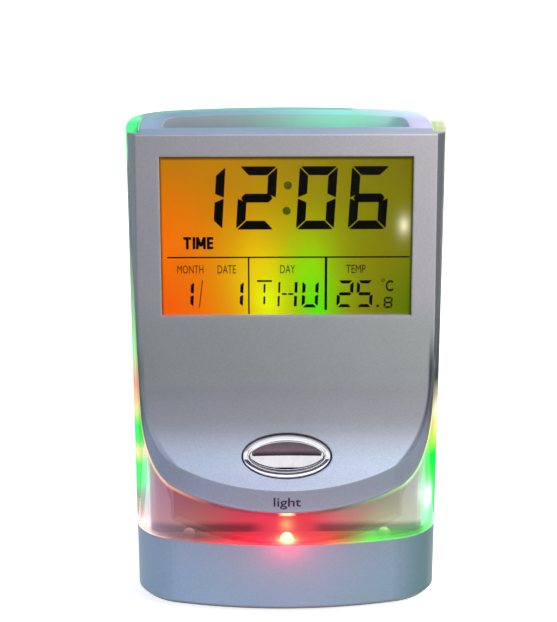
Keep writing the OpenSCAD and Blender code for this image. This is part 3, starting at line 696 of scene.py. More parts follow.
RIM_TONES = [(0.1, 110, 140, 140), (0.5, 110, 156, 148), (0.7, 114, 160, 152), (0.95, 180, 190, 206)]

# %% Edges that glow
light_guide, given, made = new_group("light_guide", {"Level": 1.0}, Color=COLOUR, Lit=NUMBER)
x, y, z = object_axes()
lean = between(y, -10, 14, 0.0, 8 * MM) * between(z, 75, 50)
height = between(z + lean, FOOT_Z, RIM_Z, shape="LINEAR")
frontness = between(y, 22, 2)
left_side = between(x, -32.4, -34.6) * frontness
right_side = between(x, 30.5, 34.2) * frontness

ahead = y - SEAM_CENTRE[0] * MM
above = z - SEAM_CENTRE[1] * MM
reach = calc("SQRT", ahead ** 2.0 + above ** 2.0)
on_seam = between(abs(reach - SEAM_R * MM), 0.45, 0.15) * between(z, 46, 40)
foot_line = between(z, FOOT_Z + 0.5, FOOT_Z + 0.2)
# The ankle band paints the look of the LED-lit deck behind it onto the shell, as painted light.
ankle = between(z, 20.6, 18.8) * between(abs(x), 4, 12)
rim_line = between(z, 110.2, 110.7) * between(y, 2, 8)
white_core = glow((33.3, -14.0, 26.0), (1.9, 5.0, 4.8), 4.0)
# A painted glint of the red LED at the foot of the seam.
spark = glow((0.0, -22.3, 18.6), (2.2, 4.0, 1.5), 3.0)
# A painted highlight: a white-lilac reflection strip at the left front corner.
sheen = between(abs(x + 32.2 * MM), 1.0, 0.3) * between(z, 44, 36)
flow = make("ShaderNodeMapping", object_place(), Scale=(160.0, 160.0, 14.0))
streak = remap(noise(1.0, 3.0, flow), 0.3, 0.7, 0.72, 1.1)
edge_light = summed(
    tinted(left_side * streak, ramp(height, LEFT_BANDS)),
    tinted(right_side * streak, ramp(height, RIGHT_BANDS)),
    tinted(on_seam, ramp(across(), SEAM_TONES)),
    tinted(foot_line, ramp(across(), FOOT_TONES)),
    tinted(ankle, ramp(across(), ANKLE_TONES)),
    tinted(rim_line, ramp(across(), RIM_TONES)),
    tinted(white_core, (1.8, 1.8, 1.8, 1.0)),
    tinted(sheen, (0.2, 0.17, 0.24, 1.0)),
    tinted(spark, (1.2, 1.0, 0.4, 1.0)))
lit = larger(left_side, right_side) * larger(between(z, 60, 48), between(z, 102, 106))
for share in (foot_line, ankle * 0.8, on_seam, rim_line):
    lit = larger(lit, share)
fill(made, Color=tinted(given["Level"], edge_light), Lit=lit)
print("light guide glows from", FOOT_Z, "to", RIM_Z, "mm")

# %% [markdown]
# ## Clear plastics
# Glass in a path tracer throws a black shadow unless light may pass straight through it.
# The usual cure is to swap it for a Transparent shader on shadow rays only, with the Light Path node.
# A trace of fine scratches keeps the gloss from looking like a perfect mirror.

# %% Clear shell and window lens
# Where the edges glow, the shell's body is painted dark, as painted shade, so that little shows through under
# the painted glow.
PAINTED_DARK_BODY = (0.08, 0.09, 0.09, 1.0)


def clear_plastic(name, tint, index, guide):
    """Clear moulded plastic, with or without light at its edges."""
    material, shader = new_material(
        name, Transmission_Weight=1.0, IOR=index, Emission_Strength=1.0 if guide else 0.0)
    body = mix(remap(noise(30.0), 0.3, 0.7, 0.0, 0.2), tint, WHITE)
    if guide:
        lit = group(light_guide, Level=1.0)
        fill(shader, Emission_Color=lit["Color"])
        body = mix(lit["Lit"], body, PAINTED_DARK_BODY)
    fill(shader, Base_Color=body, Roughness=remap(noise(900.0, 6.0), 0.45, 0.8, 0.015, 0.07))
    through = make("ShaderNodeBsdfTransparent", tint)
    shadow = make("ShaderNodeLightPath", out="Is Shadow Ray")
    end = next(node for node in Bench.tree.nodes if node.bl_idname == "ShaderNodeOutputMaterial")
    fill(end, Surface=make("ShaderNodeMixShader", shadow, Value(shader.outputs[0]), through))
    return material


dress(clear_plastic("clear_acrylic", (0.82, 0.89, 0.87, 1.0), 1.49, True), "clear_shell")
dress(clear_plastic("lens_acrylic", (0.985, 0.99, 1.0, 1.0), 1.45, False), "lcd_lens")

# %% [markdown]
# ## The lit display
# The display is a grey LCD with a coloured backlight.
# A red lamp shines in at the lower left and a green one below.
# Between them the light runs through orange, yellow and olive, and it dies away towards the top.
# Soft pools of light on an olive ground give the same sweep, one small pale pool is a painted highlight, and a
# painted shadow of the window's edge darkens it on three sides.
# Each pool has a colour, a place from the window's centre, a width, a height and a sharpness.

# %% Backlight colours
WINDOW_Z = 87.8
OLIVE = srgb(108, 124, 0)
POOLS = (
    ((104, 96, 0), 36, 24, 22, 16, 2.0),
    ((176, 130, 0), -18, 26, 26, 16, 2.0),
    ((255, 116, 0), -30, -2, 27, 24, 2.0),
    ((255, 90, 0), -26, -18, 26, 16, 2.0),
    ((255, 196, 0), -6, -8, 10, 14, 2.0),
    ((255, 255, 0), -4, -15, 6, 9, 2.0),
    ((150, 230, 0), 5, -9, 8, 12, 2.0),
    ((90, 240, 0), 7, -16, 5, 8, 2.0),
    ((86, 118, 0), 31, -17, 11, 11, 2.0),
    # The last pool is a painted highlight, a small reflection on the lens.
    ((255, 250, 200), 26.4, 2.2, 1.9, 3.2, 3.0))

backlight_pools, given, made = new_group("backlight_pools", {"Level": 1.0}, Color=COLOUR)
tone = OLIVE
for colour, u, v, wide, high, sharp in POOLS:
    tone = mix(glow((u, 0.0, WINDOW_Z + v), (wide, DEEP, high), sharp), tone, srgb(*colour))
x, _, z = object_axes()
# A painted shadow of the window's edge on the sides and the top.
shade = larger(between(abs(x), 27.6, 28.2), between(z, WINDOW_Z + 16.9, WINDOW_Z + 17.5))
fill(made, Color=tinted(given["Level"], mix(shade * 0.75, tone, NO_LIGHT)))

for name, level, rough in (("lcd_panel", 1.0, 0.25), ("backlight_panel", 0.8, 0.5)):
    material, shader, cloud = speckled(
        "lit_" + name, 120.0, 4.0, (12, 13, 8), (20, 21, 14), (rough, rough + 0.08),
        Emission_Strength=1.0, Specular_IOR_Level=0.0)
    lit = group(backlight_pools, Level=level)["Color"]
    fill(shader, Emission_Color=mix(remap(cloud, 0.3, 0.8, 0.0, 0.06), lit, NO_LIGHT))
    dress(material, name)

# %% [markdown]
# ## Trees for repeated pieces
# A Geometry Nodes tree draws one piece on every point that it is given, turned as the point says.
# All of it is turned into plain mesh, one for each kind, because instances don't survive an export.

# %% Geometry Nodes helpers
def new_tree(name, *sizes):
    """Starts an empty Geometry Nodes tree that takes points, sizes and a finish."""
    tree = bpy.data.node_groups.new(name, "GeometryNodeTree")
    tree.interface.new_socket("Geometry", in_out="INPUT", socket_type="NodeSocketGeometry")
    for label in sizes:
        tree.interface.new_socket(label, in_out="INPUT", socket_type=NUMBER)
    tree.interface.new_socket("Finish", in_out="INPUT", socket_type="NodeSocketMaterial")
    tree.interface.new_socket("Geometry", in_out="OUTPUT", socket_type="NodeSocketGeometry")
    return opened(tree)


def joined(*meshes):
    """Several meshes as one."""
    node = put("GeometryNodeJoinGeometry")
    for mesh in meshes:
        feed(node.inputs[0], mesh)
    return Value(node.outputs[0])


def moved(mesh, height):
    """A mesh lifted along Z."""
    return make("GeometryNodeTransform", mesh, Translation=make("ShaderNodeCombineXYZ", 0.0, 0.0, height))


def repeated(given, piece):
    """A piece on every point, turned about Z as the point says, and made real."""
    turn = make("GeometryNodeInputNamedAttribute", "turn", data_type="FLOAT")
    spin = make("FunctionNodeEulerToRotation", make("ShaderNodeCombineXYZ", 0.0, 0.0, turn))
    spots = make("GeometryNodeMeshToPoints", given["Geometry"])
    many = make("GeometryNodeInstanceOnPoints", spots, Instance=piece, Rotation=spin)
    return make("GeometryNodeRealizeInstances", many)


def ended(made, given, mesh):
    """The last step of each tree, which gives the mesh its finish."""
    fill(made, Geometry=make("GeometryNodeSetMaterial", mesh, Material=given["Finish"]))
    print(Bench.tree.name, "tree has", len(Bench.tree.nodes), "nodes")


def as_mesh(thing):
    """A plain mesh of what an object shows, in place of the object."""
    graph = bpy.context.evaluated_depsgraph_get()
    shown = thing.evaluated_get(graph)
    mesh = bpy.data.meshes.new_from_object(shown, preserve_all_data_layers=True, depsgraph=graph)
    mesh.materials.clear()
    bpy.data.objects.remove(thing)
    return mesh


def grow(name, tree, points, turns, **sizes):
    """Runs a tree on points and returns a plain mesh of what it made."""
    mesh = bpy.data.meshes.new(name)
    mesh.from_pydata(points, [], [])
    mesh.attributes.new("turn", "FLOAT", "POINT").data.foreach_set("value", turns)
    seed = placed(name, mesh)
    modifier = seed.modifiers.new(name, "NODES")
    modifier.node_group = tree
    for item in tree.interface.items_tree:
        label = item.name.replace(" ", "_")
        if item.in_out == "INPUT" and label in sizes:
            modifier[item.identifier] = sizes[label]
    return as_mesh(seed)


# %% Helpers for pieces
def upright_frame(origin, right, up, out):
    """The matrix of a frame, from an origin in millimetres to metres."""
    columns = Matrix((right, up, out)).transposed().to_4x4()
    return Matrix.Translation(Vector(origin) * MM) @ columns


def gather(piece, mesh, place=Matrix.Identity(4)):
    """Adds a mesh to a piece's bmesh, carried to its place."""
    mesh.transform(place)
    piece.from_mesh(mesh)
    bpy.data.meshes.remove(mesh)


def into_place(piece, place):
    """Carries a bmesh from millimetres in a frame of its own to its place on the clock."""
    piece.transform(place @ Matrix.Scale(MM, 4))


def finished(name, piece, material, body, smooth=False):
    """Turns a bmesh into a piece that rides on a body."""
    mesh = bpy.data.meshes.new(name)
    piece.to_mesh(mesh)
    piece.free()
    mesh.materials.clear()
    mesh.materials.append(material)
    for polygon in mesh.polygons:
        polygon.material_index = 0
        polygon.use_smooth = smooth
    made = placed(name, mesh)
    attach(made, body)
    print(name, len(mesh.polygons), "faces")
    return made


# %% [markdown]
# ## Figures from segments
# A display like this has one mask of bars, and lights those that make up each figure.
# Every bar is the same trapezium, turned and moved, so one Geometry Nodes tree draws them all.
# It draws a bar on each point, rounds its corners, leans the row and gives it a finish.

# %% The bar tree
bar_tree, given, made = new_tree(
    "display_bars", "Length", "Stroke", "Mitre", "Skew", "Corner", "Lean", "Thickness")
short = given["Length"] - given["Mitre"] * 2.0
bar = make("GeometryNodeCurvePrimitiveQuadrilateral", mode="TRAPEZOID", Height=given["Stroke"],
           Bottom_Width=given["Length"], Top_Width=short, Offset=given["Skew"])
bar = make("GeometryNodeFilletCurve", bar, mode="POLY", Count=3, Radius=given["Corner"], Limit_Radius=True)
bar = make("GeometryNodeFillCurve", bar, mode="NGONS")
raised = make("GeometryNodeExtrudeMesh", bar, Offset_Scale=given["Thickness"], Individual=False)
whole = joined(raised, make("GeometryNodeFlipFaces", bar))
closed = make("GeometryNodeMergeByDistance", whole, Distance=0.001 * MM)
rise = parts(make("GeometryNodeInputPosition"))[1]
slide = make("ShaderNodeCombineXYZ", rise * given["Lean"])
ended(made, given, make("GeometryNodeSetPosition", repeated(given, closed), Offset=slide))

# %% [markdown]
# ## Digits, letters and rules
# A digit is named by the bars that it lights: top, middle, bottom and the four uprights.
# Small words stand over the lower figures, and thin rules part the three boxes.
# The words are set as text, turned to mesh and fitted to the width and height they take on the display.

# %% Figure helpers
ink, _, _ = speckled("display_ink", 400.0, 2.0, (4, 6, 2), (12, 13, 6), (0.45, 0.6), Specular_IOR_Level=0.0)

FACE_TILT = math.radians(1.5)
FACE_TOP = Vector((0, -11.4, 111.0))
WINDOW_DROP = 23.208
LCD_DEPTH = 2.0
face_up = Vector((0, math.sin(FACE_TILT), math.cos(FACE_TILT)))
face_in = Vector((0, math.cos(FACE_TILT), -math.sin(FACE_TILT)))
window_middle = FACE_TOP + face_up * -WINDOW_DROP
display = upright_frame(window_middle + face_in * LCD_DEPTH, RIGHT, face_up, -face_in)

SKIN = 0.03
LIT = {
    "0": ("top", "bottom", "left_high", "left_low", "right_high", "right_low"),
    "1": ("right_high", "right_low"),
    "2": ("top", "middle", "bottom", "right_high", "left_low"),
    "5": ("top", "middle", "bottom", "left_high", "right_low"),
    "6": ("top", "middle", "bottom", "left_high", "left_low", "right_low"),
    "8": ("top", "middle", "bottom", "left_high", "left_low", "right_high", "right_low"),
    "U": ("bottom", "left_high", "left_low", "right_high", "right_low")}
TURN_OF = {"top": math.pi, "bottom": 0.0, "left": -math.pi / 2, "right": math.pi / 2}


def add_bars(piece, spots, middle_v, length, stroke, mitre=0.0, skew=0.0, corner=0.05, lean=0.0):
    """Bars of one size, from a list of points with their turns."""
    points, turns = zip(*spots)
    mesh = grow("bars", bar_tree, points, turns, Length=length, Stroke=stroke, Mitre=mitre, Skew=skew,
                Corner=corner, Lean=math.tan(lean), Thickness=SKIN, Finish=ink)
    gather(piece, mesh, Matrix.Translation((0, middle_v, 0)))


def row_of_digits(piece, digits, middle_v, wide, high, stroke, gap, lean, corner):
    """Seven-bar figures of one size, each at its own place; an upright is cut more at its outer end."""
    flat, middle = [], []
    upright = {-1: [], 1: []}
    for digit, u in digits:
        for bar in LIT[digit]:
            side, _, half = bar.partition("_")
            if bar == "middle":
                middle += [((u, stroke / 4, 0), 0.0), ((u, -stroke / 4, 0), math.pi)]
            elif half:
                x = (wide - stroke) / 2 * (1 if side == "right" else -1)
                y = (high / 4 - gap / 4) * (1 if half == "high" else -1)
                skew = -1 if bar in ("right_high", "left_low") else 1
                upright[skew].append(((u + x, y, 0), TURN_OF[side]))
            else:
                y = (high - stroke) / 2 * (1 if side == "top" else -1)
                flat.append(((u, y, 0), TURN_OF[side]))
    upright_l, upright_cut = high / 2 - 1.5 * gap, stroke * 0.7
    kinds = (
        (flat, wide - 2 * gap, stroke, stroke, 0.0),
        (upright[-1], upright_l, stroke, upright_cut, -stroke / 4),
        (upright[1], upright_l, stroke, upright_cut, stroke / 4),
        (middle, wide - 0.5 * stroke - gap, stroke / 2, stroke / 2, 0.0))
    for spots, length, thick, mitre, skew in kinds:
        if spots:
            add_bars(piece, spots, middle_v, length, thick, mitre, skew, corner, lean)


def plain_bars(piece, bars):
    """Straight bars from (u, v, length, stroke, turn)."""
    for u, v, length, stroke, turn in bars:
        add_bars(piece, [((u, v, 0), turn)], 0.0, length, stroke)


def word(piece, text, u0, u1, v0, v1, bold=0.0):
    """Text turned to mesh and fitted to a box."""
    curve = bpy.data.curves.new(text, "FONT")
    curve.body = text
    curve.offset = bold
    curve.resolution_u = 3
    mesh = as_mesh(placed(text, curve))
    spots = [vertex.co.copy() for vertex in mesh.vertices]
    low = [min(spot[axis] for spot in spots) for axis in (0, 1)]
    high = [max(spot[axis] for spot in spots) for axis in (0, 1)]
    for vertex in mesh.vertices:
        share = [(vertex.co[axis] - low[axis]) / (high[axis] - low[axis]) for axis in (0, 1)]
        vertex.co = (u0 + share[0] * (u1 - u0), v0 + share[1] * (v1 - v0), SKIN)
    gather(piece, mesh)


# %% Figures on the display
UPRIGHT = math.pi / 2
STEEP = math.radians(88)
BIG_LEAN, LEAN = math.radians(3.4), math.radians(2.5)
BIG = [("1", -18.2), ("2", -6.6), ("0", 6.82), ("6", 18.45)]
SMALL = [("1", -22.8), ("1", -11.6), ("U", 5.4), ("2", 13.3), ("5", 17.75)]
TENTHS = [("8", 23.1)]

figures = bmesh.new()
row_of_digits(figures, BIG, middle_v=8.55, wide=8.5, high=14.3, stroke=2.0, gap=0.2, lean=BIG_LEAN, corner=0.14)
row_of_digits(figures, SMALL, middle_v=-13.55, wide=3.7, high=6.3, stroke=0.74, gap=0.3, lean=LEAN, corner=0.1)
row_of_digits(figures, TENTHS, middle_v=-15.6, wide=2.0, high=2.6, stroke=0.42, gap=0.14, lean=LEAN, corner=0.06)
plain_bars(figures, [
    (0.5, -5.0, 54.7, 0.34, 0.0),
    (-8.5, -11.6, 13.2, 0.36, UPRIGHT),
    (8.95, -11.2, 12.2, 0.58, UPRIGHT),
    (-19.34, -13.45, 6.4, 0.2, math.radians(83)),
    (-4.95, -10.5, 3.35, 0.42, 0.0),
    (-4.95, -12.2, 2.0, 0.42, STEEP),
    (-5.0, -15.0, 1.8, 0.42, STEEP),
    (-1.6, -12.0, 2.5, 0.45, STEEP),
    (-1.75, -15.2, 2.4, 0.45, STEEP),
    (2.2, -12.0, 2.5, 0.66, STEEP),
    (2.05, -15.2, 2.4, 0.66, STEEP),
    (-0.45, -13.55, 1.1, 0.42, 0.0),
    (1.0, -13.55, 1.1, 0.42, 0.0),
    (20.74, -16.4, 0.55, 0.55, 0.0)])

# %% Words on the display
T_U, I_U, M_U, E_U = -22.25, -20.75, -19.2, -17.05
LETTER_V, LETTER_H, PEN = -1.7, 2.8, 0.62
cross_v = LETTER_V + (LETTER_H - PEN) / 2
stems = (T_U, I_U, M_U - 0.8, M_U + 0.8, E_U - 0.5)
plain_bars(figures, [(u, LETTER_V, LETTER_H, PEN, UPRIGHT) for u in stems])
plain_bars(figures, [
    (M_U + 0.37 * way, LETTER_V + 0.25, 2.1, PEN, math.radians(90 - 19 * way)) for way in (-1, 1)])
plain_bars(figures, [
    (T_U, cross_v, 1.75, PEN, 0.0),
    (E_U, cross_v, 1.3, PEN, 0.0),
    (E_U - 0.05, LETTER_V, 1.2, PEN, 0.0),
    (E_U, 2 * LETTER_V - cross_v, 1.3, PEN, 0.0)])
HEADINGS = (("MONTH", -24.6, -18.7), ("DATE", -15.5, -11.4), ("DAY", -1.4, 2.0), ("TEMP", 13.5, 17.9))
for text, u0, u1 in HEADINGS:
    word(figures, text, u0, u1, -8.7, -6.8)
word(figures, "C", 22.5, 24.2, -13.0, -10.4, 0.02)
word(figures, "°", 21.5, 22.3, -10.8, -10.0)
into_place(figures, display)
finished("lcd_figures", figures, ink, "body")

# %% [markdown]
# ## The colon
# The two dots between hours and minutes blink, and a half-lit dot looks like smoked green glass.
# They are round discs with the colour of the backlight darkened, not the black of the lit bars.

# %% Colon dots
dim_ink, shader, cloud = speckled("dim_ink", 900.0, 2.0, (24, 28, 8), (36, 40, 12), (0.4, 0.55),
                                  Specular_IOR_Level=0.0, Emission_Strength=1.0)
fill(shader, Emission_Color=two_tone(cloud, (60, 66, 0), (76, 82, 0)))
dots = bmesh.new()
for u, v in ((0.34, 11.4), (0.07, 5.65)):
    bmesh.ops.create_cone(dots, cap_ends=True, segments=24, radius1=0.92, radius2=0.88, depth=SKIN,
                          matrix=Matrix.Translation((u, v, SKIN / 2)))
into_place(dots, display)
finished("colon_dots", dots, dim_ink, "body")

# %% [markdown]
# ## The chrome button
# The light button is a plated oval pillow in a sloping ring, and both stand square to the slope of the scoop.
# The ring is one profile, a slope up to a crest, carried round an oval.
# Chrome needs clean curvature more than anything, so both are drawn with many faces and shaded smooth.
# The pillow is a dark mirror, and the ring has a paler plating.
# The upper half of the ring faces the grey scoop, so the white of a lamp overhead is painted along its crest.

# %% Chrome
SLOPE = Vector((0, -0.88204, 0.47118))
UP_SLOPE = Vector((0, 0.47118, 0.88204))
BUTTON_MIDDLE = Vector((0, -17.56, 37.6))


def from_button(direction):
    """How far a point is from the middle of the button in one direction, in metres."""
    offset = vector("SUBTRACT", object_place(), BUTTON_MIDDLE * MM)
    return vector("DOT_PRODUCT", offset, direction, out="Value")


chrome, _, _ = speckled(
    "chrome_plate", 500.0, 5.0, (226, 226, 232), (238, 238, 242), (0.03, 0.07), low=0.3, Metallic=1.0)
bright_ring, shader, _ = speckled(
    "bright_ring", 700.0, 5.0, (240, 240, 244), (248, 248, 252), (0.06, 0.12), low=0.3,
    Metallic=0.9, Emission_Strength=1.0)
crest_light = between(from_button(UP_SLOPE), -0.5, 2.5, 0.0, 0.6) * between(from_button(SLOPE), 0.3, 0.8)
fill(shader, Emission_Color=tinted(crest_light, WHITE))

# %% Ring
RING_W, RING_H, RING = 20.1, 10.0, 1.45
AROUND = 128
LIP, RISE, BELOW, CREST = 0.1, 1.0, -1.6, 1.15
ROUND = 6
button_frame = upright_frame(BUTTON_MIDDLE, RIGHT, UP_SLOPE, SLOPE)


def oval_points(wide, high):
    """Points and outward normals of an oval."""
    for step in range(AROUND):
        angle = 2 * math.pi * step / AROUND
        spot = Vector((wide / 2 * math.cos(angle), high / 2 * math.sin(angle), 0))
        out = Vector((math.cos(angle) / wide, math.sin(angle) / high, 0)).normalized()
        yield spot, out


def bridge(piece, loops):
    """Quads between rings of vertices, outward when the rings go up the outside."""
    for lower, upper in zip(loops, loops[1:]):
        for a in range(AROUND):
            b = (a + 1) % AROUND
            piece.faces.new((lower[a], lower[b], upper[b], upper[a]))


ring_profile = [(0.0, BELOW), (0.0, LIP)]
for step in range(1, ROUND + 1):
    share = step / ROUND
    ring_profile.append((CREST * share, LIP + (RISE - LIP) * (1.25 * share - 0.25 * share ** 2)))
ring_profile += [(CREST + 0.18, RISE - 0.06), (RING, RISE - 0.3), (RING, BELOW)]
ring = bmesh.new()
loops = []
for inset, level in ring_profile:
    oval = oval_points(RING_W, RING_H)
    loops.append([ring.verts.new(spot - out * inset + UP * level) for spot, out in oval])
bridge(ring, loops + loops[:1])
bmesh.ops.recalc_face_normals(ring, faces=ring.faces)
into_place(ring, button_frame)
bezel = finished("button_ring", ring, bright_ring, "body", smooth=True)
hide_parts("button_bezel")

# %% Pillow
PILLOW_GAP = 0.3
PILLOW_W, PILLOW_H = RING_W - 2 * RING - PILLOW_GAP, RING_H - 2 * RING - PILLOW_GAP
PILLOW_FOOT, SHOULDER, DOME = -3.5, 0.9, 1.62
STEPS = 22

pillow_profile = [(1.0, PILLOW_FOOT), (1.0, SHOULDER - 0.25), (0.985, SHOULDER - 0.08)]
for step in range(1, STEPS):
    share = 0.96 * (1 - step / STEPS)
    pillow_profile.append((share, SHOULDER + (DOME - SHOULDER) * (1 - share ** 2)))
pillow = bmesh.new()
loops = []
for share, level in pillow_profile:
    loops.append([pillow.verts.new(spot * share + UP * level) for spot, _ in oval_points(PILLOW_W, PILLOW_H)])
bridge(pillow, loops)
pillow.faces.new(list(reversed(loops[0])))
peak = pillow.verts.new(UP * DOME)
for a in range(AROUND):
    pillow.faces.new((loops[-1][a], loops[-1][(a + 1) % AROUND], peak))
bmesh.ops.recalc_face_normals(pillow, faces=pillow.faces)
into_place(pillow, button_frame)
button = finished("button_pillow", pillow, chrome, "light_button", smooth=True)
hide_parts("light_button")

# %% [markdown]
# ## The word under the button
# The band below the button says what the button does, in small dark print.
# The band bulges a little, so each point of the flat word is sent straight back until it meets the fascia.

# %% Printed word
IN_FRONT = -60 * MM
PROUD = 0.02 * MM
print_ink, _, _ = speckled("grey_print", 1500.0, 2.0, (52, 38, 58), (70, 52, 76), (0.5, 0.65))
label = bmesh.new()
word(label, "light", -3.05, 3.25, 26.3, 29.2, 0.012)
fascia = nodes["fascia"]
for vertex in label.verts:
    start = Vector((vertex.co.x * MM, IN_FRONT, vertex.co.y * MM))
    hit, spot, _, _ = fascia.ray_cast(start, BACK)
    vertex.co = spot - BACK * PROUD if hit else start
finished("light_word", label, print_ink, "body")

# %% [markdown]
# ## Screws, feet and springs
# These repeat too, so each kind is one Geometry Nodes tree.
# The screw has a head with a cross recess and a coiled thread.
# The foot has a rounded rim, and the spring is a cone of wire.

# %% Bright metal
nickel, shader = new_material("nickel_plate", Metallic=1.0)
brushed = make("ShaderNodeMapping", object_place(), Scale=(300.0, 300.0, 4000.0))
streak = noise(1.0, 4.0, brushed)
fill(shader,
     Base_Color=two_tone(streak, (196, 194, 188), (222, 221, 216)),
     Roughness=remap(streak, 0.2, 0.8, 0.2, 0.38),
     Normal=bumped(0.1, 0.02, streak))
dress(nickel, "battery_contacts", "quartz_crystal")

# %% Screw tree
SUNK = 0.2
screw_tree, given, made = new_tree("cross_screw", "Head", "Head Height", "Shank", "Length", "Pitch")
head = make("GeometryNodeMeshCylinder", Vertices=40, Radius=given["Head"] * 0.5, Depth=given["Head Height"])
slot_l = given["Head"] * 0.56
slot_w = given["Head"] * 0.15
cut = put("GeometryNodeMeshBoolean", operation="DIFFERENCE", solver="EXACT")
feed(cut.inputs[0], moved(head, given["Head Height"] * 0.5))
for wide, high in ((slot_l, slot_w), (slot_w, slot_l)):
    block = make("ShaderNodeCombineXYZ", wide, high, given["Head Height"])
    feed(cut.inputs[1], make("GeometryNodeMeshCube", block))
core_r = given["Shank"] * 0.4
core = make("GeometryNodeMeshCylinder", Vertices=20, Radius=core_r, Depth=given["Length"])
core = moved(core, calc("MULTIPLY_ADD", given["Length"], 0.5, given["Head Height"]) - SUNK)
coil = make("GeometryNodeCurveSpiral", Resolution=16, Rotations=given["Length"] / given["Pitch"],
            Start_Radius=core_r, End_Radius=core_r, Height=given["Length"])
wire = make("GeometryNodeCurvePrimitiveCircle", Resolution=5, Radius=given["Shank"] * 0.1)
thread = make("GeometryNodeCurveToMesh", coil, wire, Fill_Caps=True)
thread = moved(thread, given["Head Height"] - SUNK)
ended(made, given, repeated(given, joined(Value(cut.outputs[0]), core, thread)))

# %% Screws
SCREW_XY = [(29.1, -9.0, 0), (-29.1, -9.0, 0), (29.1, 10.0, 0), (-29.1, 10.0, 0)]
QUARTERS = [0.3, 1.1, 0.7, 0.1]
PLATE_Z = 1.0
BOARD_BACK, BOARD_HEAD = 5.7, 1.2
BOARD_SCREW_X, BOARD_SCREW_DROP = 26.5, 54.0


def planted(name, tree, points, turns, place, body, slot, stands_for, material, smooth=False, **sizes):
    """A set of repeated pieces, grown on points of a frame and put in place of a CAD node."""
    piece = bmesh.new()
    gather(piece, grow(name, tree, points, turns, Finish=material, **sizes))
    into_place(piece, place)
    made = finished(name, piece, material, body, smooth)
    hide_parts(stands_for)


table_frame = upright_frame((0, 0, 0), RIGHT, BACK, UP)
under_plate = upright_frame((0, 0, PLATE_Z), RIGHT, BACK, UP)
planted("case_screws", screw_tree, SCREW_XY, QUARTERS, under_plate, "body", "spring_steel", "base_screws",
        nickel, Head=5.0, Head_Height=1.5, Shank=2.6, Length=22.8, Pitch=1.1)
screw_seat = FACE_TOP + face_in * (BOARD_BACK + BOARD_HEAD)
board_plane = upright_frame(screw_seat, -RIGHT, face_up, -face_in)
board_points = [(BOARD_SCREW_X, -BOARD_SCREW_DROP, 0), (-BOARD_SCREW_X, -BOARD_SCREW_DROP, 0)]
planted("board_fixings", screw_tree, board_points, QUARTERS[:2], board_plane, "body", "spring_steel",
        "board_screws", nickel, Head=3.6, Head_Height=BOARD_HEAD, Shank=1.9, Length=3.4, Pitch=0.8)

# %% Feet
soft_foot, shader = new_material("soft_foot", Specular_IOR_Level=0.3)
grain = group(moulded_grain, Scale=1800.0, Patch=200.0)
fill(shader,
     Base_Color=two_tone(grain["Shade"], (38, 38, 40), (58, 58, 60)),
     Roughness=remap(grain["Shade"], 0.2, 0.8, 0.7, 0.9),
     Normal=bumped(0.3, 0.08, grain["Height"]))

foot_tree, given, made = new_tree("rounded_foot", "Radius", "Height", "Edge")
inner = given["Radius"] - given["Edge"]
half = given["Height"] * 0.5
disc = make("GeometryNodeMeshCylinder", Vertices=48, Radius=inner, Depth=given["Height"])
path = make("GeometryNodeCurvePrimitiveCircle", Resolution=48, Radius=inner)
lip = make("GeometryNodeCurvePrimitiveCircle", Resolution=16, Radius=given["Edge"])
rim = make("GeometryNodeCurveToMesh", path, lip)
ended(made, given, repeated(given, joined(moved(disc, half), moved(rim, half))))
planted("desk_feet", foot_tree, SCREW_XY, QUARTERS, table_frame, "body", "foot_rubber", "rubber_feet",
        soft_foot, Radius=3.2, Height=0.8, Edge=0.4)

# %% Battery springs
CELL_Y, CELL_PITCH, CELL_Z, SPRING_X = 1.2, 10.68, 7.75, 23.85
spring_tree, given, made = new_tree("cone_spring", "Wide", "Narrow", "Length", "Turns", "Wire")
coil = make("GeometryNodeCurveSpiral", Resolution=28, Rotations=given["Turns"], Start_Radius=given["Wide"],
            End_Radius=given["Narrow"], Height=given["Length"])
wire = make("GeometryNodeCurvePrimitiveCircle", Resolution=10, Radius=given["Wire"] * 0.5)
coil = make("GeometryNodeCurveToMesh", coil, wire, Fill_Caps=True)
lying = make("GeometryNodeTransform", coil, Rotation=(0.0, math.pi / 2, 0.0))
ended(made, given, repeated(given, lying))
spring_points = [(-SPRING_X, CELL_Y - CELL_PITCH, CELL_Z), (SPRING_X, CELL_Y, CELL_Z),
                 (-SPRING_X, CELL_Y + CELL_PITCH, CELL_Z)]
planted("coil_springs", spring_tree, spring_points, [0.0, math.pi, 0.0], table_frame, "body", "spring_steel",
        "battery_springs", nickel, smooth=True, Wide=3.4, Narrow=2.0, Length=3.2, Turns=3.5, Wire=0.6)

# %% [markdown]
# ## Plastics inside and below
# The plate and the door under the base are grey plastic with the sparkle that spark erosion leaves.
# Switches, keys and plugs are small plain mouldings, each with its own tone and grain.
# One function makes them all from a dark and a light tone, a roughness and a depth of grain.

# %% Plain mouldings
def moulding(name, dark, light, rough, scale, depth, *names):
    """Plastic moulded in its colour, lighter along its rubbed edges."""
    material, shader = new_material(name)
    grain = group(moulded_grain, Scale=scale, Patch=120.0)
    border = group(soft_edge, Radius=0.25 * MM)
    tone = two_tone(grain["Shade"], dark, light)
    fill(shader,
         Base_Color=mix(border["Edge"] * 0.3, tone, srgb(200, 200, 200)),
         Roughness=remap(grain["Height"], 0.2, 0.8, rough - 0.06, rough + 0.06),
         Normal=bumped(depth, 0.1, grain["Height"], border["Normal"]))
    dress(material, *names)


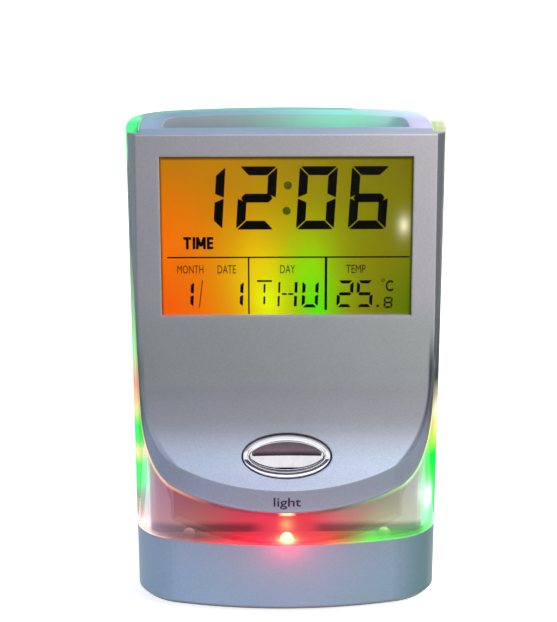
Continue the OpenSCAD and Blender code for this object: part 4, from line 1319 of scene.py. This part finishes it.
moulding("spark_grey", (116, 120, 128), (128, 132, 140), 0.58, 1500.0, 0.4, "base_plate", "battery_door")
moulding("key_grey", (186, 188, 192), (200, 202, 206), 0.45, 2000.0, 0.15, "mode_key", "set_key")
moulding("matt_black", (26, 26, 28), (40, 40, 43), 0.55, 1800.0, 0.25,
         "clock_chip", "switch_plunger", "light_switch", "key_switches")
moulding("ivory_nylon", (226, 220, 200), (238, 232, 214), 0.42, 1600.0, 0.12, "lead_connector")
moulding("brown_bead", (96, 50, 28), (120, 66, 38), 0.2, 900.0, 0.1, "temp_sensor")

# %% [markdown]
# ## Boards, wires and cells
# A circuit board is green lacquer over a net of copper, with bright pads where the parts are soldered.
# A wire's jacket tells which lead it is, so its colour changes from one wire to the next.
# A cell has a plain dark jacket with a copper-coloured band at each end and bare metal at its tips.

# %% Boards
board, shader = new_material("green_board", Specular_IOR_Level=0.5)
flat = make("ShaderNodeMapping", object_place(), Rotation=(math.pi / 2, 0.0, 0.0))
net = outputs(put("ShaderNodeTexBrick", flat, Scale=110.0, Color1=srgb(22, 92, 52), Color2=srgb(28, 104, 60),
                  Mortar=srgb(52, 138, 84), Mortar_Size=0.06))
pads = make("ShaderNodeTexVoronoi", object_place(), Scale=260.0, out="Distance")
pad = remap(pads, 0.17, 0.14)
fill(shader,
     Base_Color=mix(pad, net["Color"], srgb(206, 196, 160)),
     Metallic=pad * 0.8,
     Roughness=remap(pads, 0.0, 0.6, 0.25, 0.4),
     Normal=bumped(0.2, 0.05, net["Fac"]))
dress(board, "main_board", "led_board", "switch_board", "key_board")

# %% Wires, rubber strip and cells
WIRE_TONES = [(0.0, 176, 30, 30), (0.2, 34, 34, 36), (0.74, 186, 34, 32), (0.84, 38, 120, 54),
              (0.93, 36, 36, 38)]
BAND_START, TIP_START = 14.0, 20.3

jacket, shader = new_material("wire_jackets")
along = between(object_axes()[0], -6, 23, shape="LINEAR")
grime = noise(600.0)
tone = mix(remap(grime, 0.4, 0.8, 0.0, 0.2), ramp(along, WIRE_TONES, "CONSTANT"), srgb(90, 84, 80))
fill(shader, Base_Color=tone, Roughness=remap(grime, 0.2, 0.8, 0.35, 0.5))
dress(jacket, "lead_wires", "switch_leads")

striped, shader = new_material("striped_rubber")
stripe = make("ShaderNodeTexWave", object_place(), Scale=420.0, bands_direction="X", out="Fac")
fill(shader,
     Base_Color=ramp(stripe, [(0.45, 214, 168, 166), (0.55, 44, 40, 42)]),
     Roughness=remap(stripe, 0.0, 1.0, 0.6, 0.8))
dress(striped, "zebra_strip")

cell_wrap, shader = new_material("cell_wrap")
scuff = noise(500.0, 5.0)
end = abs(object_axes()[0])
tone = two_tone(scuff, (46, 58, 52), (60, 72, 66))
tone = mix(between(end, BAND_START, BAND_START + 0.2), tone, srgb(176, 126, 74))
fill(shader,
     Base_Color=mix(between(end, TIP_START, TIP_START + 0.2), tone, srgb(206, 206, 204)),
     Metallic=between(end, BAND_START, BAND_START + 0.2, 0.15, 0.8),
     Roughness=remap(scuff, 0.2, 0.8, 0.26, 0.4))
dress(cell_wrap, "batteries")

# %% [markdown]
# ## Lit LEDs
# A lit LED is brightest at its core, where it is nearly white, and takes its colour only towards its rim.
# The same glow that lights the surfaces round it, drawn tighter, gives that hot middle.

# %% LED lenses
HEART = (1.3, 1.3, 1.8)


def lit_led(name, centres, hot, cool, strength, node):
    """A small lens, paler at its heart and coloured at its rim; the left one points away and looks dim."""
    material, shader = new_material(name, Emission_Strength=strength)
    heart = glow(centres[0], HEART)
    for centre in centres[1:]:
        heart = larger(heart, glow(centre, HEART))
    turned_away = between(object_axes()[0], -10, -20)
    tone = mix(turned_away, mix(remap(heart, 0.2, 0.55), cool, hot), srgb(176, 116, 120))
    fill(shader, Emission_Color=tone, Base_Color=tone, Roughness=remap(heart, 0.0, 1.0, 0.08, 0.14))
    dress(material, node)


lit_led("red_lamp", [(0.0, -17.4, 18.2)], (1.0, 0.9, 0.5, 1.0), (1.0, 0.5, 0.14, 1.0), 2.5, "red_led")
lit_led("green_lamps", [(-22.5, -14.45, 18.6), (22.5, -14.45, 18.6)], srgb(150, 200, 90), srgb(140, 160, 90),
        0.8, "green_leds")
